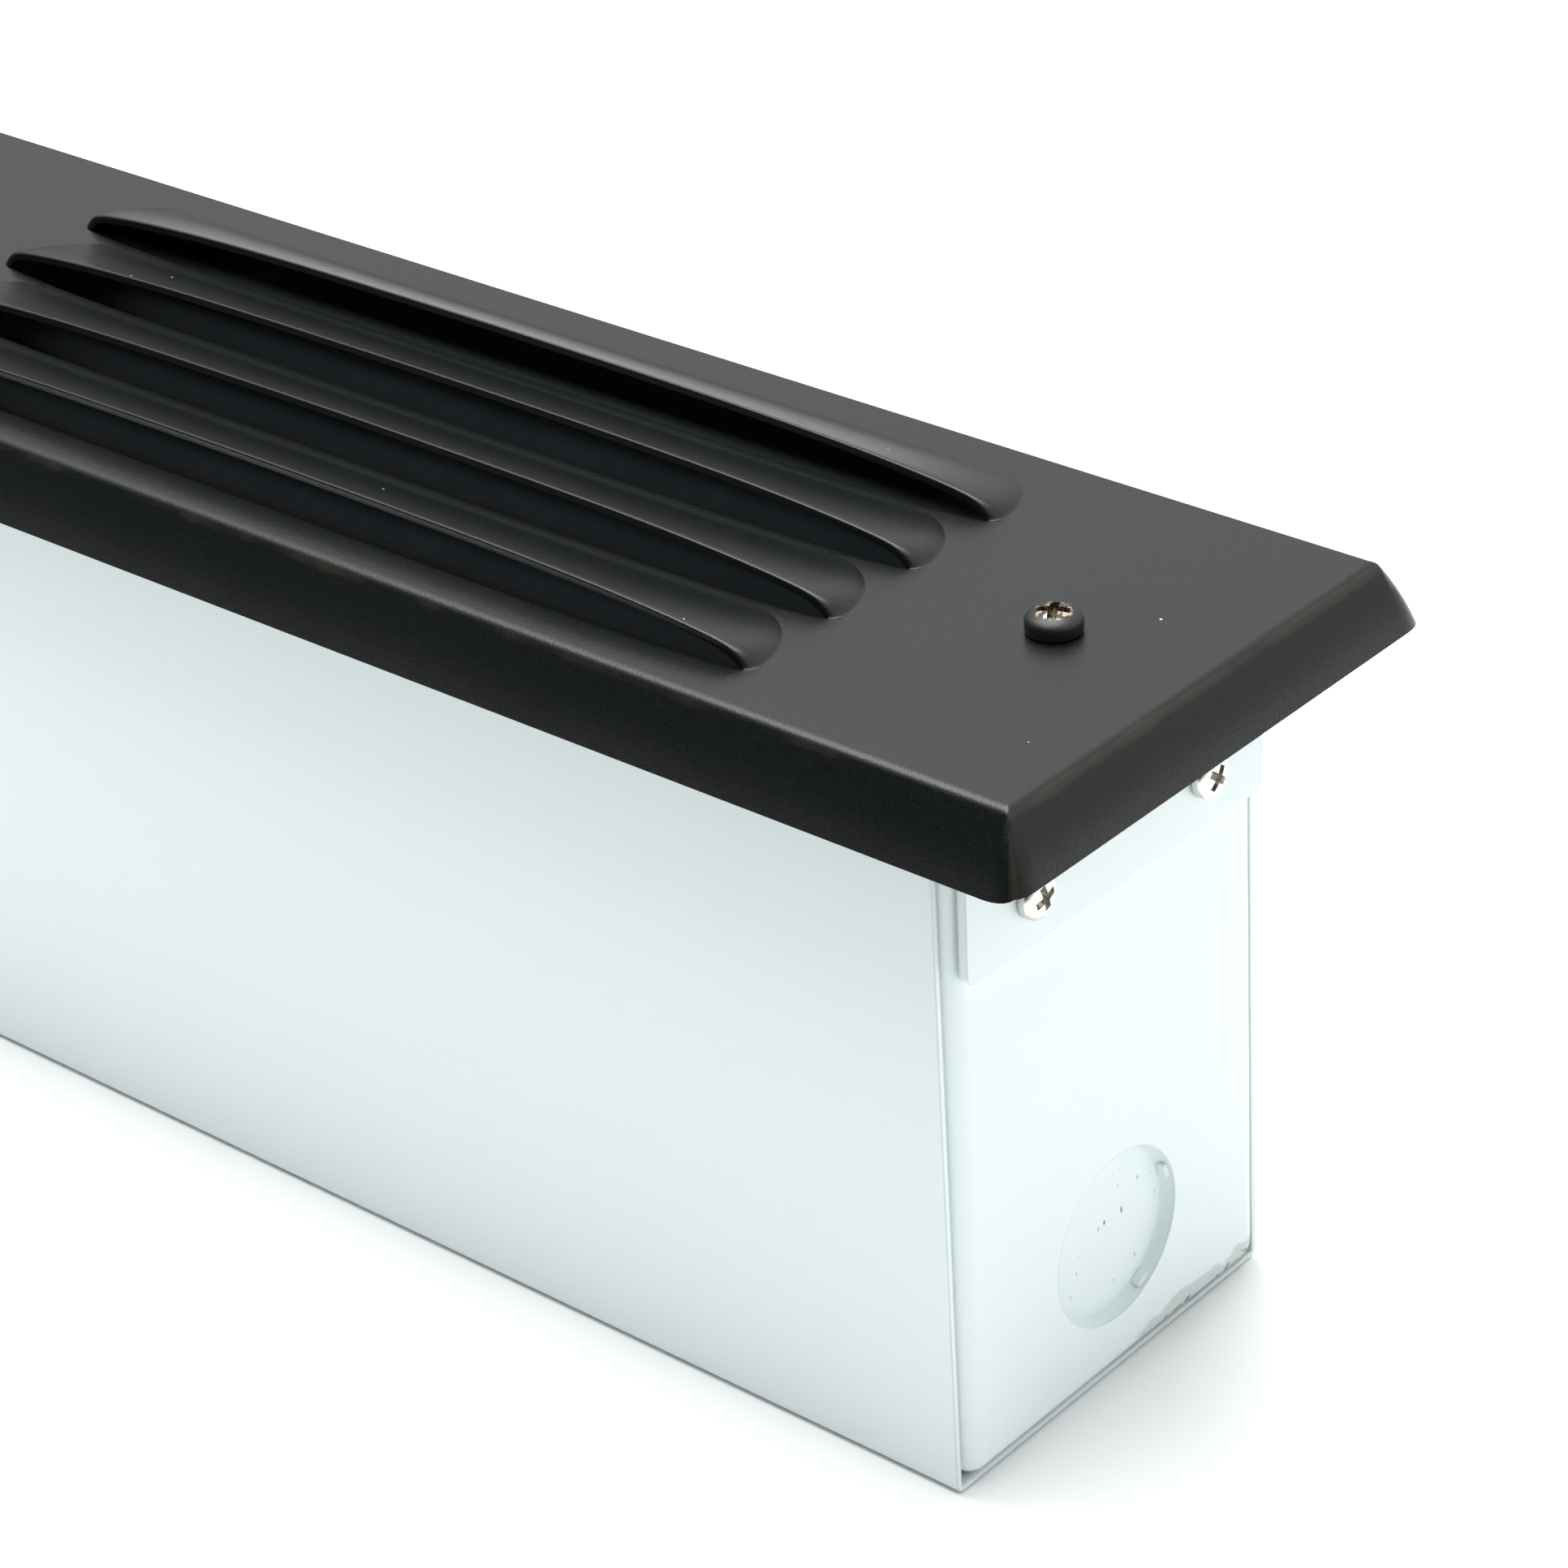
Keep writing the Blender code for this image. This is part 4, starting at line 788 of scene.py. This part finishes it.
def mark_recess(mesh, place, index, sign, head, rise):
    """Mark the points of the driver recess, where the finish is worn through."""
    marks = mesh.attributes.new("recess", "FLOAT", "POINT")
    for vert, mark in zip(mesh.vertices, marks.data):
        offset = vert.co - place
        height = offset[index] * sign
        offset[index] = 0.0
        mark.value = 1.0 if offset.length < 0.62 * head and height > 0.1 * rise else 0.0


def make_screws():
    """Every screw, each with its recess turned its own way."""
    for side, turn in (("right", 0.5), ("left", 1.1)):
        make_screw(f"cover_screw_{side}", f"{side}_cover_screw", f"cover_screw_{side}", "screw_black",
                   COVER_SCREW, "Z", turn)
        for place, twist in (("front", 0.3), ("back", 0.9)):
            node = f"bracket_screw_{side}_{place}"
            make_screw(node, f"{side}_{place}_bracket_screw", node, "screw_zinc",
                       BRACKET_SCREW, "X" if side == "right" else "-X", twist)
    for number in (1, 2):
        make_screw(f"led_board_screw_{number}", f"board_screw_{number}", "housing", "screw_zinc",
                   SMALL_SCREW, "Z", 0.4 * number)
        make_screw(f"driver_screw_{number}", f"driver_fixing_screw_{number}", "housing", "screw_zinc",
                   SMALL_SCREW, "-Z", 0.7 * number)
    make_screw("earth_screw", "bonding_screw", "housing", "earth_green", SMALL_SCREW, "-Z", 0.2)


# --- wire nuts ---------------------------------------------------------------------------------

def rib_ring_tree():
    """Boxes in a ring, each turned to face outwards, as a geometry node tree."""
    tree = bpy.data.node_groups.new("ring_of_ribs", "GeometryNodeTree")
    for title, kind, default in (("Count", "Int", 12), ("Radius", "Float", 0.004),
                                 ("Rib", "Vector", (1, 1, 1)), ("Height", "Float", 0.0)):
        socket = tree.interface.new_socket(title, in_out="INPUT", socket_type="NodeSocket" + kind)
        socket.default_value = default
    tree.interface.new_socket("Material", in_out="INPUT", socket_type="NodeSocketMaterial")
    tree.interface.new_socket("Geometry", in_out="OUTPUT", socket_type="NodeSocketGeometry")
    given = tree.nodes.new("NodeGroupInput").outputs
    circle = add_node(tree, "GeometryNodeMeshCircle",
                      {"Vertices": given["Count"], "Radius": given["Radius"]})
    rib = add_node(tree, "GeometryNodeMeshCube", {"Size": given["Rib"]})
    step = math_node(tree, "DIVIDE", 2 * math.pi, given["Count"])
    angle = math_node(tree, "MULTIPLY", tree.nodes.new("GeometryNodeInputIndex").outputs[0], step)
    turn = add_node(tree, "ShaderNodeCombineXYZ", {"Z": angle})
    placed = add_node(tree, "GeometryNodeInstanceOnPoints", {"Points": circle.outputs["Mesh"],
                                                             "Instance": rib.outputs["Mesh"],
                                                             "Rotation": turn.outputs[0]})
    lift = add_node(tree, "ShaderNodeCombineXYZ", {"Z": given["Height"]})
    moved = add_node(tree, "GeometryNodeTranslateInstances", {"Instances": placed.outputs[0],
                                                              "Translation": lift.outputs[0],
                                                              "Local Space": False})
    solid = add_node(tree, "GeometryNodeRealizeInstances", {"Geometry": moved.outputs[0]})
    dressed = add_node(tree, "GeometryNodeSetMaterial",
                       {"Geometry": solid.outputs[0], "Material": given["Material"]})
    result = tree.nodes.new("NodeGroupOutput")
    tree.links.new(dressed.outputs[0], result.inputs["Geometry"])
    return tree


def ring_of_ribs(tree, **inputs):
    """An object with the ribs that the tree makes from the named inputs."""
    holder = bpy.data.objects.new("ribs", bpy.data.meshes.new("ribs"))
    DECK.objects.link(holder)
    step = holder.modifiers.new("ribs", "NODES")
    step.node_group = tree
    names = {item.name: item.identifier for item in tree.interface.items_tree if item.in_out == "INPUT"}
    for key, value in inputs.items():
        step[names[key.title()]] = value
    return settle(holder)


def make_wire_nuts():
    """Tapered caps with a skirt and gripping ribs, open where the leads go in."""
    tree = rib_ring_tree()
    for name in ("line", "neutral", "earth"):
        low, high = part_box(f"{name}_wire_nut")
        middle, tall, wide = (low + high) / 2, high.z - low.z, (high.x - low.x) / 2
        body = [(0, 0), (0.50 * wide, 0), (0.58 * wide, 0.04 * tall), (0.72 * wide, 0.66 * tall),
                (0.94 * wide, 0.70 * tall), (0.99 * wide, 0.98 * tall), (0.95 * wide, tall),
                (0.60 * wide, tall), (0.56 * wide, 0.96 * tall), (0, 0.96 * tall)]
        place = (middle.x, middle.y, low.z)
        nut = turned(f"{name}_ribbed_wire_nut", body, place, 48)
        nylon = MATERIALS["nut_orange"]
        nut.data.materials.append(nylon)
        ribs = ring_of_ribs(tree, count=16, radius=0.66 * wide, height=0.36 * tall, material=nylon,
                            rib=(0.16 * wide, 0.09 * wide, 0.56 * tall))
        ribs.data.transform(Matrix.Translation(place))
        combine(nut, [ribs], "UNION")
        hand_over(nut, "housing", "nut_orange", f"{name}_wire_nut")


# --- carried-over nodes ------------------------------------------------------------------------

def paint_frame():
    """Give every CAD node the material of its record slot."""
    slots = {row["node"]: row["material_slot"] for row in frame["record"]["subparts"]}
    for name, node in frame["nodes"].items():
        look = "end_white" if name.startswith("end_cap") else slots[name]
        node.data.materials.clear()
        node.data.materials.append(MATERIALS[look])


# --- stage -------------------------------------------------------------------------------------

CAMERA_PLACE = Vector((377.5, -356.6, 340.0)) * MM
CAMERA_AZIMUTH = math.radians(42.02)
CAMERA_ELEVATION = math.radians(29.91)
CAMERA_ROLL = math.radians(3.51)
CAMERA_LENS = 110.04

FLOOR_RADIUS = 2.2
FLOOR_SHIFT = 1.75
FLOOR_DROP = 0.2 * MM
SKY_BACK = (1.04, 1.06, 1.06, 1)
SKY_FRONT = (0.02, 0.026, 0.028, 1)
SKY_SEEN = (1.05, 1.05, 1.05, 1)
SKY_LEAN = (0.12, 0.75, 0.9)
SKY_EDGES = (-0.3, 0.75)
SKY_HORIZON = 0.3
SKY_FULL = 0.45
KEY_PLACE = (-0.35, 0.1, 1.9)
KEY_AIM = (0, 0, 0.05)
KEY_SIZE = (1.7, 1.7)
KEY_POWER = 60.0
KEY_COLOUR = (0.99, 1.0, 1.0)


def make_camera():
    """Stand the camera at its azimuth and elevation, with a small roll."""
    camera = bpy.data.cameras.new("camera")
    camera.lens = CAMERA_LENS
    camera.sensor_width = 36
    camera.clip_start = 0.01
    holder = bpy.data.objects.new("camera", camera)
    DECK.objects.link(holder)
    back = Vector((math.sin(CAMERA_AZIMUTH) * math.cos(CAMERA_ELEVATION),
                   -math.cos(CAMERA_AZIMUTH) * math.cos(CAMERA_ELEVATION), math.sin(CAMERA_ELEVATION)))
    right = Vector((0, 0, 1)).cross(back).normalized()
    up = back.cross(right)
    spin = Matrix.Rotation(CAMERA_ROLL, 3, back)
    turn = Matrix((spin.inverted() @ right, spin.inverted() @ up, back)).transposed()
    holder.matrix_world = Matrix.Translation(CAMERA_PLACE) @ turn.to_4x4()
    bpy.context.scene.camera = holder


def make_light(name, place, aim, size, power, colour):
    """A soft rectangular lamp, turned towards a point."""
    light = bpy.data.lights.new(name, "AREA")
    light.shape = "RECTANGLE"
    light.size, light.size_y = size
    light.energy = power
    light.color = colour
    holder = bpy.data.objects.new(name, light)
    DECK.objects.link(holder)
    direction = Vector(aim) - Vector(place)
    turn = direction.to_track_quat("-Z", "Y").to_matrix().to_4x4()
    holder.matrix_world = Matrix.Translation(place) @ turn


def make_floor():
    """A pale round floor just under the box, set back from the camera."""
    bm = bmesh.new()
    bmesh.ops.create_circle(bm, cap_ends=True, segments=96, radius=FLOOR_RADIUS,
                            matrix=Matrix.Translation((0, FLOOR_SHIFT, -FLOOR_DROP)))
    floor = add_piece("floor", bm)
    made, tree, shader, place = new_material("pale_floor", specular_ior_level=0.2, roughness=0.7)
    grain = noise(tree, place, 8.0, 2.0)
    feed(tree, shader, base_color=mix_colour(tree, grain, (0.93, 0.935, 0.93, 1), (0.95, 0.95, 0.95, 1)))
    floor.data.materials.append(made)


def make_sky():
    """A soft room: bright behind and overhead, dim in front, and a plain backdrop to the eye."""
    world = bpy.data.worlds.new("room")
    world.use_nodes = True
    tree = world.node_tree
    direction = tree.nodes.new("ShaderNodeTexCoord").outputs["Generated"]
    lean = add_node(tree, "ShaderNodeVectorMath", {0: direction, 1: SKY_LEAN}, operation="DOT_PRODUCT")
    height = add_node(tree, "ShaderNodeSeparateXYZ", {"Vector": direction}).outputs["Z"]
    behind = ramp(tree, lean.outputs["Value"], *SKY_EDGES)
    above = add_node(tree, "ShaderNodeMapRange", {"Value": height, "From Min": 0.0, "From Max": SKY_FULL,
                                                  "To Min": SKY_HORIZON, "To Max": 1.0}).outputs["Result"]
    colour = mix_colour(tree, math_node(tree, "MULTIPLY", behind, above), SKY_FRONT, SKY_BACK)
    seen = tree.nodes.new("ShaderNodeLightPath").outputs["Is Camera Ray"]
    colour = mix_colour(tree, seen, colour, SKY_SEEN)
    tree.links.new(colour, tree.nodes["Background"].inputs["Color"])
    bpy.context.scene.world = world


def make_stage():
    make_floor()
    make_sky()
    make_light("key", KEY_PLACE, KEY_AIM, KEY_SIZE, KEY_POWER, KEY_COLOUR)
    bpy.context.scene.view_settings.view_transform = "Standard"


paint_frame()
make_cover()
make_end_cap("right")
make_end_cap("left")
make_screws()
make_wire_nuts()
make_camera()
make_stage()
